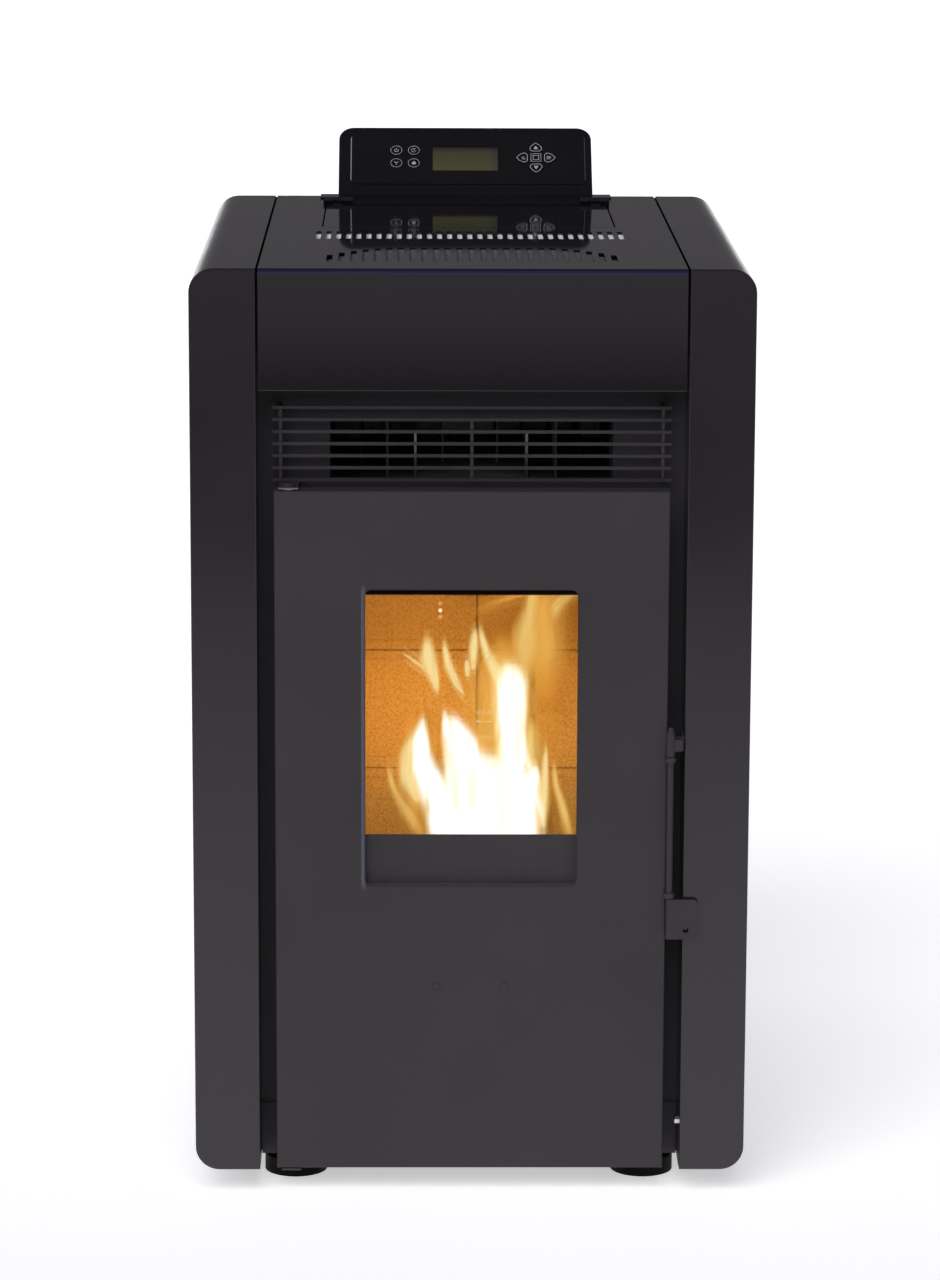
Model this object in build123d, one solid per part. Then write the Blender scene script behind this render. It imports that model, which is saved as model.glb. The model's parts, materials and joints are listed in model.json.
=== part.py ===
from build123d import *
import math
import os

# A free-standing pellet stove. The pieces are drawn in the casing frame, in millimetres: x from
# the centre, y behind the casing's front face, z above the casing's bottom edge. At the end all
# of them move together, so that z is 0 on the floor and the overall box is centred on x and y.

# ---------------------------------------------------------------- overall
BODY_W = 460.0             # across both side casings
BODY_D = 560.0             # casing front face to casing back face
CASING_H = 760.0           # casing bottom to casing top
FOOT_CLEAR = 20.5          # floor to casing bottom
FLUE_REACH = 80.0          # flue spigot behind the casing's back
SHEET = 2.0                # outer sheet steel
THIN = 1.5                 # inner sheet steel
NEAR = 0.3                 # gap between neighbours that must not touch
RUN = 0.05                 # radial clearance of a running fit
EDGE_R = 1.2               # softened outer sheet edges

# ---------------------------------------------------------------- casings and cover
SIDE_T = 54.0              # thickness of one side casing
CORNER_R = 20.0            # its outer corners, seen from the front
RETURN_D = 70.0            # depth of its inner front return
REAR_RETURN_D = 22.0       # depth of its inner rear return
RETURN_MARGIN = 24.0       # inner wall left above and below the opening to the works
COVER_T = 1.2              # sheet of the cover and of the lid
SEAM = 2.0                 # dark line between casing and centre cover
APRON_H = 100.0            # front apron of the top cover
APRON_LIP = 12.0           # return edge under the apron
FOLD_R = 3.0               # outside radius of the cover's front fold

# ---------------------------------------------------------------- vents in the top
REAR_VENTS = 31
REAR_VENT_SPAN = 259.2     # first to last slot centre
REAR_VENT_W = 4.3
REAR_VENT_FRONT = 212.0    # front ends of the rear row's slots
REAR_VENT_BACK = 268.0     # and their rear ends
FRONT_VENTS = 25
FRONT_VENT_SPAN = 234.5
FRONT_VENT_W = 5.0
FRONT_VENT_FRONT = 50.0
FRONT_VENT_BACK = 146.0    # rear ends in the middle half of the row
FRONT_VENT_SIDE = 96.0     # rear ends of the outermost slots
BAFFLE_DROP = 8.0          # fall of a baffle plate from its rear edge to its front edge
BAFFLE_SIDE = 6.0          # baffle plate beyond its slots, each way

# ---------------------------------------------------------------- base and feet
TRAY_DROP = 1.0            # underside of the tray below the casing bottom
TRAY_Y = 48.0              # front of the tray
RAIL_H = 44.0              # front rail of the tray
FLANGE_H = 30.0            # side flanges of the tray
FOOT_IN = 28.5             # feet from the side casings
FOOT_FRONT_Y = 70.0
FOOT_REAR_IN = 70.0        # rear feet from the casing's back
FOOT_R = 26.5
FOOT_DISC_T = 15.0
FOOT_CONE_R = 20.0         # foot of the cone on the disc
FOOT_COLLAR_R = 9.0
FOOT_COLLAR_T = 2.0
STUD_R = 5.0
STUD_UP = 18.0             # stud above the tray

# ---------------------------------------------------------------- front frame and firebox
FRAME_Y = TRAY_Y + SHEET   # front face of the front frame
FIRE_IN = 44.0             # firebox from each side casing
MOUTH_IN = 7.0             # mouth inside the firebox's width, each side
MOUTH_BOTTOM = 58.0
MOUTH_BELOW = 17.0         # mouth's top below the door's top
MOUTH_R = 8.0
OUTLET_IN = 15.0           # warm-air outlet inside the firebox's width, each side
OUTLET_UP = 4.0            # outlet above the door
OUTLET_H = 48.0
FIRE_WALL = 3.0
FIRE_REAR_IN = 248.0       # back of the firebox from the casing's back
FIRE_BELOW = 5.0           # its top below the door's top
ASH_FLOOR = 52.0           # underside of the ash chamber's floor
HEARTH_Z = 193.0           # top of the hearth plate
BRICK_T = 24.0
SIDE_BRICK_T = 20.0
BRICK_BELOW = 17.0         # top of the bricks below the firebox's top
JOINT_W = 2.2              # groove between two fire bricks
JOINT_DEEP = 1.6
JOINT_X = 8.4              # upright joint, right of the centre
JOINT_LOW_Z = 279.7
JOINT_HIGH_Z = 386.8
PROBE_SQ = 14.0            # square probe port at the foot of the upright joint
PROBE_Z = 308.5            # its lower edge

# ---------------------------------------------------------------- burn pot, igniter and ash pan
POT_W = 96.0
POT_H = 44.0
POT_WALL = 4.0
POT_IN = 95.0              # centre of the pot from the back bricks
POT_NECK = 10.0            # neck below the pot, in the hearth plate
POT_STEP = 4.0             # neck narrower than the pot, each side
POT_HOLE_R = 2.5
POT_HOLES = 5              # rows and columns of air holes in the floor
POT_HOLE_SPREAD = 31.0     # outermost holes from the middle of the pot
POT_HOLE_UP = 31.0         # side holes above the underside of the pot
IGNITER_R = 5.0
IGNITER_OUT = 26.0         # igniter behind the firebox
IGNITER_UP = 9.0           # its axis above the floor inside the pot
IGNITER_FLANGE_R = 9.0
IGNITER_GAP = 1.0          # igniter to pot
PAN_SIDE = 17.0            # ash pan inside the ash chamber, each side
PAN_REAR = 27.0            # and from the chamber's back
PAN_H = 92.0
PAN_GRIP_W = 80.0
PAN_GRIP_OUT = 9.0
PAN_GRIP_H = 24.0
PAN_GRIP_UP = 55.0         # grip above the underside of the pan
PAN_R = 4.0

# ---------------------------------------------------------------- warm-air side
DUCT_D = 22.0              # depth of the risers behind the firebox
RISER_GAP = 58.0           # free width between the two risers
RISER_BOTTOM = 205.0
FIN_T = 2.0
FIN_H = 40.0
FIN_PITCH = 23.2
FIN_Y = 90.0               # front of the common fins
SHORT_FIN_Y = 170.0        # front of the innermost and of the outermost fins
TALL_FIN_Y = 58.0          # front of the two fins that are as high as the outlet
TALL_FIN = 3               # their place, counted from the middle outwards
FAN_IN = 174.0             # axis of the room-air fan from the casing's back
FAN_Z = 246.0
FAN_R = 34.0
FAN_TIP_GAP = 6.0
FAN_SIDE = 9.0             # its chamber inside the risers' width, each side
FAN_BLADES = 22
FAN_BLADE_L = 10.0
FAN_BLADE_T = 1.2
FAN_BLADE_LEAN = 18.0
FAN_DISC_T = 2.0
FAN_OUTLET_H = 46.0
FAN_INLET_H = 36.0
FAN_SHAFT_R = 4.0
FAN_MOTOR_R = 33.0
FAN_MOTOR_L = 46.0
FAN_SHAFT_IN = 18.0        # shaft inside its motor
SHAFT_SPARE = 1.0          # a motor's bore beyond the end of its shaft
MOTOR_R = 3.0              # rounded rim of a motor

# ---------------------------------------------------------------- grille
GRILLE_Y = 33.5            # front of the bars
GRILLE_BAR = 2.6
GRILLE_BARS = 7
GRILLE_PITCH = 10.0
GRILLE_UP = 4.8            # centre of the lowest bar above the door
GRILLE_IN = 12.0           # ends of the bars from the side casings
GRILLE_POST_IN = 7.0       # outer posts from the ends of the bars

# ---------------------------------------------------------------- fuel side
LID_SIDE = 9.0             # lid beyond the hopper, each side
LID_BEFORE = 30.0          # and in front of it
LID_BEHIND = 10.0
LID_GAP = 1.2
LID_FLANGE = 10.0
LID_FLANGE_IN = 6.0        # flange inside the lid's edge
LID_R = 5.0
LID_EDGE_R = 0.6
LID_HINGE_IN = 10.0        # hinges from the sides of the lid
LID_PIN_R = 1.5
LID_KNUCKLE_R = 2.6
LID_KNUCKLE_L = 9.0
LID_LEAF_T = 1.2
LID_LEAF_L = 16.0
LID_PIN_BACK = 5.0         # hinge pin behind the lid's rear edge
HOPPER_BELOW = 16.0        # hopper's mouth below the casing top
HOPPER_W = 236.0
HOPPER_D = 150.0
HOPPER_IN = 80.0           # back of the hopper from the casing's back
HOPPER_STRAIGHT = 44.0     # upright part below the mouth
HOPPER_RIM = 10.0          # flange around the mouth
HOPPER_EAR_H = 10.0        # height of the two straps to the rear panel
AUGER_BELOW = 42.0         # auger's axis below the firebox's top
AUGER_GAP_FRONT = 28.0     # front end of its tube behind the firebox
AUGER_IN = 54.0            # rear end of its tube from the casing's back
AUGER_R = 22.0             # inside the auger tube
AUGER_GAP = 0.8            # flight to tube
AUGER_END = 4.0            # thick part of the screw from each end of the tube
AUGER_SHAFT_R = 6.0
AUGER_JOURNAL_R = 4.0
AUGER_PITCH = 34.0
FLIGHT_T = 2.4
FLIGHT_ROOT = 1.0          # flight inside the surface of its shaft
COLLAR_W = 42.0            # inside of the collar under the hopper
COLLAR_D = 60.0
COLLAR_IN = 135.0          # middle of the collar from the casing's back
COLLAR_UP = 34.0           # collar top above the auger's axis
GEARMOTOR_R = 36.0
GEARMOTOR_L = 44.0
AUGER_SHAFT_IN = 22.0      # journal inside the gearmotor
CHUTE_W = 40.0             # inside the pellet chute
CHUTE_D = 34.0             # drop opening, along the auger
CHUTE_FRONT = 4.0          # drop opening from the front end of the tube
CHUTE_BEND = 11.0          # bend of its floor below the tube
CHUTE_MOUTH_DOWN = 48.0    # top of the chute's mouth in the firebox, below the auger's axis
CHUTE_MOUTH_H = 40.0

# ---------------------------------------------------------------- smoke side
SPIGOT_FLANGE = 8.0        # flange on the rear panel, beyond its pipe
SPIGOT_FLANGE_T = 2.0
GROOVE_W = 1.0             # groove at the flange, around a spigot
GROOVE_DEEP = 0.5
FLUE_R = 40.0              # outside of the spigot
FLUE_WALL = 1.5
FLUE_IN = 86.0             # flue's axis from the left side casing
SMOKE_IN = 148.0           # axis of the smoke fan from the casing's back
SMOKE_Z = 112.0
SMOKE_R = 64.0             # inside of its chamber
SMOKE_W = 88.0             # outside, along its axis
FLUE_RISE = 24.0           # flue axis above the fan axis
SMOKE_INLET = 58.0         # square duct from the firebox
IMPELLER_R = 52.0
IMPELLER_T = 26.0
IMPELLER_BLADES = 8
IMPELLER_HUB_R = 8.0
IMPELLER_GAP = 6.0         # wheel to the wall on the motor's side
SMOKE_SHAFT_R = 4.0
SMOKE_SHAFT_IN = 26.0      # shaft inside its motor
SMOKE_MOTOR_R = 38.0
SMOKE_MOTOR_L = 52.0
AIR_PIPE_R = 25.0
AIR_PIPE_IN = 81.0         # from the right side casing
AIR_PIPE_Z = 120.0
AIR_PIPE_REACH = 40.0

# ---------------------------------------------------------------- door
DOOR_GAP = 14.0            # door to each side casing
DOOR_BELOW = 183.0         # door's top below the casing top
DOOR_Y = 5.0               # front of the door behind the casing front
DOOR_SKIN = 4.0
DOOR_LIP = 16.0            # folded edge behind the skin
WINDOW_W = 174.8
WINDOW_BOTTOM = 245.5
WINDOW_BELOW = 82.5        # window's top below the door's top
WINDOW_R = 5.0
WINDOW_EDGE_R = 3.2        # rolled front edge of the window
GLASS_T = 4.0
GLASS_OVER = 9.6           # glass beyond the window, each way
GLASS_SEAL_T = 1.5
GUARD_TOP = 286.4          # top of the ash guard behind the glass
GUARD_T = 1.5
RETAINER_IN = 16.0         # ends of strips and ash guard from the rope's channel
RETAINER_H = 14.0
RETAINER_T = 2.0
RETAINER_OVER = 3.0        # clamping strip over the edge of the glass
CLAMP_SCREW_END = 6.0      # screw from the end of its strip
CLAMP_SCREW_R = 2.2
CLAMP_SCREW_IN = 5.5       # screw from the outer edge of its strip
CLAMP_HEAD_R = 4.4
CLAMP_HEAD_T = 2.0
ROPE_D = 10.0
ROPE_IN = 9.0              # rope centre outside the firebox mouth, across
ROPE_BELOW = 6.5           # rope centre below and above the mouth
CHANNEL_RIM = 3.0          # rope channel beyond the rope, each side
CHANNEL_SEAT = 2.0         # depth of the rope's seat
ROPE_ROUND = 4.0           # rounding of the rope's sealing side
RIVET_X = 28.2
RIVET_Z = 158.4
RIVET_R = 2.2
RIVET_HEAD = 0.8
RIVET_HEAD_R = 3.2
RIVET_ROUND = 0.6
HINGE_IN = 12.0            # hinge axis from the left edge of the door
HINGE_Y = 14.0
PIN_R = 4.0
PIN_UP = 12.0              # pin inside the door
BOSS_R = 7.0
PIN_HEAD_R = 5.2
PIN_HEAD_T = 2.0
BRACKET_W = 16.0
BRACKET_T = 1.5
BRACKET_FRONT = 8.0        # bracket in front of the pin
HINGE_GAP_TOP = 1.7        # door to upper bracket, with the washer between them
WASHER_R = 5.2
BRACKET_UNDER = 12.0       # lower bracket under the tray

# ---------------------------------------------------------------- handle
ROD_OUT = 2.5              # rod's axis beyond the right edge of the door
ROD_Y = -1.0
ROD_R = 2.8
HUB_R = 3.7
HUB_LOW_Z = 357.0
HUB_HIGH_Z = 375.0
FINIAL_H = 6.0
FINIAL_R = 1.7             # at its top
FINGER_REACH = 10.0        # from the rod's axis
FINGER_H = 9.8
FINGER_T = 4.4
FINGER_UP = 4.4            # finger above the foot of the hub
TAB_LOW_Z = 201.6
TAB_H = 34.0
TAB_REACH = 24.6           # from the rod's axis
TAB_T = 3.0
TAB_FRONT = 4.0            # tab's front face in front of the rod's axis
TAB_R = 5.0
TAB_HOLE_R = 2.4
TAB_HOLE_X = 14.0
TAB_HOLE_Z = 7.8
TAB_IN = 2.0               # tab on the far side of the rod's axis
LUG_H = 4.0
LUG_GAP = 1.0              # lugs from the tab and from the hub
LUG_RIM = 1.7
CATCH_H = 12.0
CATCH_D = 26.0
CATCH_REACH = 7.5
CATCH_BEHIND = 1.5         # catch plate behind the hub
CATCH_UP = 3.2             # its lower edge above the foot of the hub
BOLT_R = 4.2
BOLT_HEAD = 3.5
BOLT_ROUND = 1.4
BOLT_Y = 30.0
BOLT_Z = 35.3

# ---------------------------------------------------------------- control panel
PANEL_W = 236.0
PANEL_L = 83.0             # along its leaning face
PANEL_T = 18.0
PANEL_LEAN = 47.0          # degrees back from upright
PANEL_BEHIND = 1.2         # foot of its face behind the casing back
PANEL_UP = 1.5             # foot of its face above the top
PANEL_R = 14.0
PANEL_EDGE_R = 2.0
FASCIA_IN = 8.5            # fascia inside the panel's width, each side
FASCIA_X = 2.5             # centre of the fascia
FASCIA_LOW = 12.0
FASCIA_L = 62.0
FASCIA_T = 3.0
FASCIA_PROUD = 1.0
FASCIA_R = 7.0
FASCIA_EDGE_R = 0.6
DISPLAY_W = 60.6
DISPLAY_LOW = 28.6
DISPLAY_L = 28.4
KEY_GAP = 0.3
KEY_FLANGE = 1.0
KEY_FLANGE_T = 1.4
KEY_PROUD = 0.5
KEY_TRAVEL = 0.5
ROUND_KEY_R = 6.0
ROUND_KEY_IN = (45.1, 61.4)   # their columns from the fascia's left end
ROUND_KEY_UP = (52.7, 37.0)
PAD_IN = 43.6              # middle of the five-way pad from the fascia's right end
PAD_UP = 44.0
PAD_REACH = 18.7
PAD_START = 7.6
PAD_HALF = 7.0
PAD_FOOT_HALF = 5.2
PAD_TIP_HALF = 1.6
PAD_ROUND = 1.2
PAD_SQUARE = 11.0
PAD_SQUARE_R = 1.6
FOOT_STRIP_OUT = 16.0      # strip beyond the panel, each side
FOOT_STRIP_D = 24.0
BRACKET_BACK_L = 46.0

# ---------------------------------------------------------------- electrics on the rear panel
SOCKET_IN_X = 48.0         # socket plate's centre from the right side casing
SOCKET_Z = 66.0
SOCKET_W = 66.0
SOCKET_H = 30.0
SOCKET_IN = 20.0
SOCKET_RIM = 2.0
SOCKET_FLANGE = 3.0        # flange beyond its hole, each way
SOCKET_R = 3.0
INLET_W = 24.0
INLET_H = 16.0
INLET_DEEP = 15.0
INLET_X = -16.0            # inlet from the socket plate's centre
PIN_BLADE = (2.0, 5.0, 11.0)                      # wide, high, long
PIN_PLACES = ((-7.0, -1.5), (0.0, 1.5), (7.0, -1.5))
ROCKER_X = 18.0            # switch from the socket plate's centre
ROCKER_W = 12.0
ROCKER_H = 20.0
ROCKER_T = 9.0
ROCKER_TILT = 7.0          # degrees, each way
ROCKER_PIVOT_R = 1.5
ROCKER_SINK = 2.0          # pivot inside the plate's outer face
ROCKER_PIVOT_L = 1.8
ROCKER_WELL = 2.0          # well beyond the rocker, up and down
ROCKER_DISH = 1.0          # hollow of its face
ROCKER_FOOT_H = 16.0       # height of its inner side
WELL_FLOOR = 2.0
BOARD_IN = 24.0            # circuit board from the right side casing
BOARD_W = 100.0
BOARD_Z = (330.0, 450.0)
BOARD_T = 1.6
STANDOFF_L = 9.0
STANDOFF_R = 3.0
STANDOFF_IN = 6.0          # from the edges of the board
BOARD_PARTS = (            # x and z on the board, and height
    ((10, 45), (66, 106), 24.0), ((56, 72), (80, 104), 16.0), ((76, 92), (80, 104), 16.0),
    ((12, 88), (10, 22), 11.0), ((56, 80), (42, 62), 6.0))
SWITCH_IN = 54.0           # pressure switch from the left side casing
SWITCH_Z = 360.0
SWITCH_R = 26.0
SWITCH_T = 20.0
SWITCH_PORT_Z = 10.0       # hose ports above and below its middle
SWITCH_PORT_L = 10.0
SWITCH_PORT_R = 3.0
SCREW_HEAD_R = 4.2
SCREW_HEAD_T = 2.2
SCREW_R = 2.0
SCREW_L = 7.0
SCREW_IN = 10.0            # screws from the side casings
SCREW_ROWS = 4
SCREW_MARGIN = 20.0
LOUVRES = 7
LOUVRE_PITCH = 12.0
LOUVRE_H = 4.5
LOUVRE_W = 180.0
LOUVRE_Z = 214.0           # lowest louvre

# ---------------------------------------------------------------- worked out
IN_X = BODY_W / 2 - SIDE_T                 # inner face of a side casing
COVER_X = IN_X - SEAM                      # edge of the top cover
TRAY_X = IN_X - NEAR                       # edge of the base tray
FOOT_X = IN_X - FOOT_IN
FOOT_REAR_Y = BODY_D - FOOT_REAR_IN
SCREW_X = IN_X - SCREW_IN
COVER_UNDER = CASING_H - COVER_T
TRAY_TOP = SHEET - TRAY_DROP
FRAME_BACK = FRAME_Y + SHEET
REAR_Y = BODY_D - SHEET                    # front face of the rear panel
DOOR_H = CASING_H - DOOR_BELOW             # door's top; its foot is level with the casing bottom
DOOR_X = IN_X - DOOR_GAP                   # edge of the door
FIRE_X = IN_X - FIRE_IN
FIRE_TOP = DOOR_H - FIRE_BELOW
FIRE_BACK = BODY_D - FIRE_REAR_IN
MOUTH_X = FIRE_X - MOUTH_IN
MOUTH_TOP = DOOR_H - MOUTH_BELOW
OUTLET_X = FIRE_X - OUTLET_IN
OUTLET_BOTTOM = DOOR_H + OUTLET_UP
OUTLET_TOP = OUTLET_BOTTOM + OUTLET_H
BRICK_TOP = FIRE_TOP - BRICK_BELOW
FIRE_IN_BACK = FIRE_BACK - FIRE_WALL
BRICK_Y = FIRE_IN_BACK - BRICK_T
POT_Y = BRICK_Y - POT_IN
ASH_TOP = ASH_FLOOR + FIRE_WALL
PAN_X = FIRE_X - FIRE_WALL - PAN_SIDE
PAN_BACK = FIRE_IN_BACK - PAN_REAR
RISER_BACK = FIRE_BACK + DUCT_D
FAN_Y = BODY_D - FAN_IN
FAN_X = OUTLET_X - FAN_SIDE                # inside of the room-air fan's chamber, each way
GRILLE_X = IN_X - GRILLE_IN
GRILLE_LOW_Z = DOOR_H + GRILLE_UP
GRILLE_POST_X = GRILLE_X - GRILLE_POST_IN
FLUE_X = FLUE_IN - IN_X
FLUE_Z = SMOKE_Z + FLUE_RISE
SMOKE_Y = BODY_D - SMOKE_IN
DRUM_R = SMOKE_R + THIN
SPIGOT_START = BODY_D + SPIGOT_FLANGE_T + GROOVE_W   # where a spigot's plain pipe begins
AIR_PIPE_X = IN_X - AIR_PIPE_IN
HOPPER_TOP = CASING_H - HOPPER_BELOW
HOPPER_Y = BODY_D - HOPPER_IN - HOPPER_D   # front of the hopper's mouth
AUGER_Z = FIRE_TOP - AUGER_BELOW
AUGER_Y = FIRE_BACK + AUGER_GAP_FRONT
AUGER_BACK = BODY_D - AUGER_IN
COLLAR_Y = BODY_D - COLLAR_IN
CHUTE_MOUTH_HIGH = AUGER_Z - CHUTE_MOUTH_DOWN
CHUTE_MOUTH_LOW = CHUTE_MOUTH_HIGH - CHUTE_MOUTH_H
LID_W = HOPPER_W + 2 * LID_SIDE
LID_HINGE_X = LID_W / 2 - LID_HINGE_IN
LID_FRONT_Y = HOPPER_Y - LID_BEFORE
LID_BACK_Y = HOPPER_Y + HOPPER_D + LID_BEHIND
LID_D = LID_BACK_Y - LID_FRONT_Y
LID_PIN_Y = LID_BACK_Y + LID_PIN_BACK
LID_PIN_Z = CASING_H + LID_KNUCKLE_R + NEAR
SKIN_BACK = DOOR_Y + DOOR_SKIN
GLASS_Y = SKIN_BACK + GLASS_SEAL_T
GLASS_BACK = GLASS_Y + GLASS_T
WINDOW_TOP = DOOR_H - WINDOW_BELOW
ROPE_R = ROPE_D / 2
ROPE_BACK = FRAME_Y - NEAR
ROPE_X = MOUTH_X + ROPE_IN
HINGE_X = DOOR_X - HINGE_IN                # left of the centre
ROD_X = DOOR_X + ROD_OUT
ROPE_LOW = MOUTH_BOTTOM - ROPE_BELOW
ROPE_HIGH = MOUTH_TOP + ROPE_BELOW
CHANNEL_HALF = ROPE_R + CHANNEL_RIM
CHANNEL_BACK = ROPE_BACK - ROPE_D + CHANNEL_SEAT
RETAINER_X = ROPE_X - CHANNEL_HALF - RETAINER_IN
CLAMP_SCREW_X = RETAINER_X - CLAMP_SCREW_END
GLASS_LOW = WINDOW_BOTTOM - GLASS_OVER
GLASS_HIGH = WINDOW_TOP + GLASS_OVER
RETAINER_LOW = GLASS_LOW + RETAINER_OVER - RETAINER_H
RETAINER_HIGH = GLASS_HIGH - RETAINER_OVER + RETAINER_H
LUG_R = ROD_R + LUG_RIM
LUG_Z = (TAB_LOW_Z + TAB_H + LUG_GAP, HUB_LOW_Z - LUG_GAP - LUG_H)   # undersides of the lugs
HANDLE_OUT = max(TAB_FRONT, LUG_R) - ROD_Y   # foremost point before the casing front
FRAME_TOP = COVER_UNDER - BAFFLE_DROP - NEAR
POT_FLOOR = HEARTH_Z + NEAR
IGNITER_Z = POT_FLOOR + POT_WALL + IGNITER_UP
FAN_PORT_Z = (FAN_Z - FAN_R, FAN_Z - FAN_R + FAN_OUTLET_H)
DROP_Y = (AUGER_Y + CHUTE_FRONT, AUGER_Y + CHUTE_FRONT + CHUTE_D)
CHUTE_TOP = AUGER_Z - AUGER_R / 2
FIN_FRONTS = (SHORT_FIN_Y, FIN_Y, TALL_FIN_Y, SHORT_FIN_Y)
FASCIA_W = PANEL_W - 2 * FASCIA_IN
PAD_X = FASCIA_W / 2 - PAD_IN
SOCKET_X = IN_X - SOCKET_IN_X
SWITCH_X = SWITCH_IN - IN_X
BOARD_X = (IN_X - BOARD_IN - BOARD_W, IN_X - BOARD_IN)
ROCKER_PIVOT_Y = BODY_D + SOCKET_RIM - ROCKER_SINK
PANEL_FLOOR = FASCIA_PROUD - FASCIA_T - NEAR - KEY_FLANGE_T - KEY_TRAVEL - NEAR
LEAN = math.radians(PANEL_LEAN)
VENT_ROWS = (              # count, span, width, front ends, rear ends and the outermost rear ends
    (REAR_VENTS, REAR_VENT_SPAN, REAR_VENT_W, REAR_VENT_FRONT, REAR_VENT_BACK, REAR_VENT_BACK),
    (FRONT_VENTS, FRONT_VENT_SPAN, FRONT_VENT_W, FRONT_VENT_FRONT, FRONT_VENT_BACK, FRONT_VENT_SIDE))
PANEL = Plane(origin=(0, BODY_D + PANEL_BEHIND, CASING_H + PANEL_UP), x_dir=(1, 0, 0),
              z_dir=(0, -math.cos(LEAN), math.sin(LEAN)))
FRONT = (HANDLE_OUT - BODY_D - FLUE_REACH) / 2     # casing front in the final frame
PLACE = Pos(0, FRONT, FOOT_CLEAR)


# ---------------------------------------------------------------- helpers
def block(x, y, z):
    """A box between two values on each axis."""
    size = Box(x[1] - x[0], y[1] - y[0], z[1] - z[0])
    return Pos((x[0] + x[1]) / 2, (y[0] + y[1]) / 2, (z[0] + z[1]) / 2) * size


def centred(half, y, z):
    """A box across the middle of the stove, half wide each way."""
    return block((-half, half), y, z)


def bar(start, end, radius):
    """A round bar from one point to another."""
    run = Vector(*end) - Vector(*start)
    place = Plane(origin=start, z_dir=run)
    return place.location * Cylinder(radius, run.length, align=(Align.CENTER, Align.CENTER, Align.MIN))


def round_y(x, z, y, radius):
    """A round bar along the depth, between two depths."""
    return bar((x, y[0], z), (x, y[1], z), radius)


def round_x(y, z, x, radius):
    """A round bar across the stove."""
    return bar((x[0], y, z), (x[1], y, z), radius)


def round_z(x, y, z, radius):
    """An upright round bar."""
    return bar((x, y, z[0]), (x, y, z[1]), radius)


def pane(x, z, radius=0.0):
    """A flat outline seen from the front, with round corners if asked."""
    wide, high = x[1] - x[0], z[1] - z[0]
    shape = RectangleRounded(wide, high, radius) if radius else Rectangle(wide, high)
    return Pos((x[0] + x[1]) / 2, (z[0] + z[1]) / 2) * shape


def through_y(outline, y):
    """An outline seen from the front, given depth."""
    return extrude(Plane.XZ.offset(-y[0]) * outline, amount=y[0] - y[1])


def through_x(points, x):
    """A closed outline of (y, z) points, given width."""
    outline = make_face(Polyline(*points, close=True))
    return extrude(Plane.YZ.offset(x[0]) * outline, amount=x[1] - x[0])


def along(first, last, count):
    """Evenly spaced values from first to last."""
    return [first + (last - first) * i / (count - 1) for i in range(count)]


def mirrored(shape):
    return mirror(shape, about=Plane.YZ)


# ---------------------------------------------------------------- base
def base_tray():
    tray = centred(TRAY_X, (TRAY_Y, REAR_Y), (-TRAY_DROP, TRAY_TOP))
    tray += centred(TRAY_X, (TRAY_Y, FRAME_Y), (TRAY_TOP, RAIL_H))
    for side in (-1, 1):
        flange = sorted((side * (TRAY_X - SHEET), side * TRAY_X))
        tray += block(flange, (FRAME_BACK, REAR_Y), (TRAY_TOP, FLANGE_H))
        for y in (FOOT_FRONT_Y, FOOT_REAR_Y):
            tray -= round_z(side * FOOT_X, y, (-TRAY_DROP, TRAY_TOP), STUD_R + NEAR)
    return tray


def levelling_feet():
    collar_low = -TRAY_DROP - FOOT_COLLAR_T
    feet = []
    for x in (-FOOT_X, FOOT_X):
        for y in (FOOT_FRONT_Y, FOOT_REAR_Y):
            disc_top = FOOT_DISC_T - FOOT_CLEAR
            foot = round_z(x, y, (-FOOT_CLEAR, disc_top), FOOT_R)
            foot = fillet(foot.edges().group_by(Axis.Z)[-1], EDGE_R)
            cone_h = collar_low - disc_top
            foot += Pos(x, y, disc_top + cone_h / 2) * Cone(FOOT_CONE_R, FOOT_COLLAR_R, cone_h)
            foot += round_z(x, y, (collar_low, -TRAY_DROP), FOOT_COLLAR_R)
            foot += round_z(x, y, (-TRAY_DROP, TRAY_TOP + STUD_UP), STUD_R)
            feet.append(foot)
    return feet


# ---------------------------------------------------------------- casings
def side_casing(side):
    outer_x = BODY_W / 2
    outline = pane((IN_X, outer_x), (0, CASING_H))
    hollow = pane((IN_X + SHEET, outer_x - SHEET), (SHEET, CASING_H - SHEET))
    outline = fillet(outline.vertices().group_by(Axis.X)[-1], CORNER_R)
    hollow = fillet(hollow.vertices().group_by(Axis.X)[-1], CORNER_R - SHEET)
    shell = through_y(outline, (0, BODY_D))
    front = shell.faces().sort_by(Axis.Y)[0]
    shell = fillet(front.edges(), EDGE_R)
    shell -= through_y(hollow, (SHEET, REAR_Y))
    shell -= block((IN_X, IN_X + SHEET), (RETURN_D, BODY_D - REAR_RETURN_D),
                   (RETURN_MARGIN, CASING_H - RETURN_MARGIN))
    return shell if side > 0 else mirrored(shell)


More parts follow.
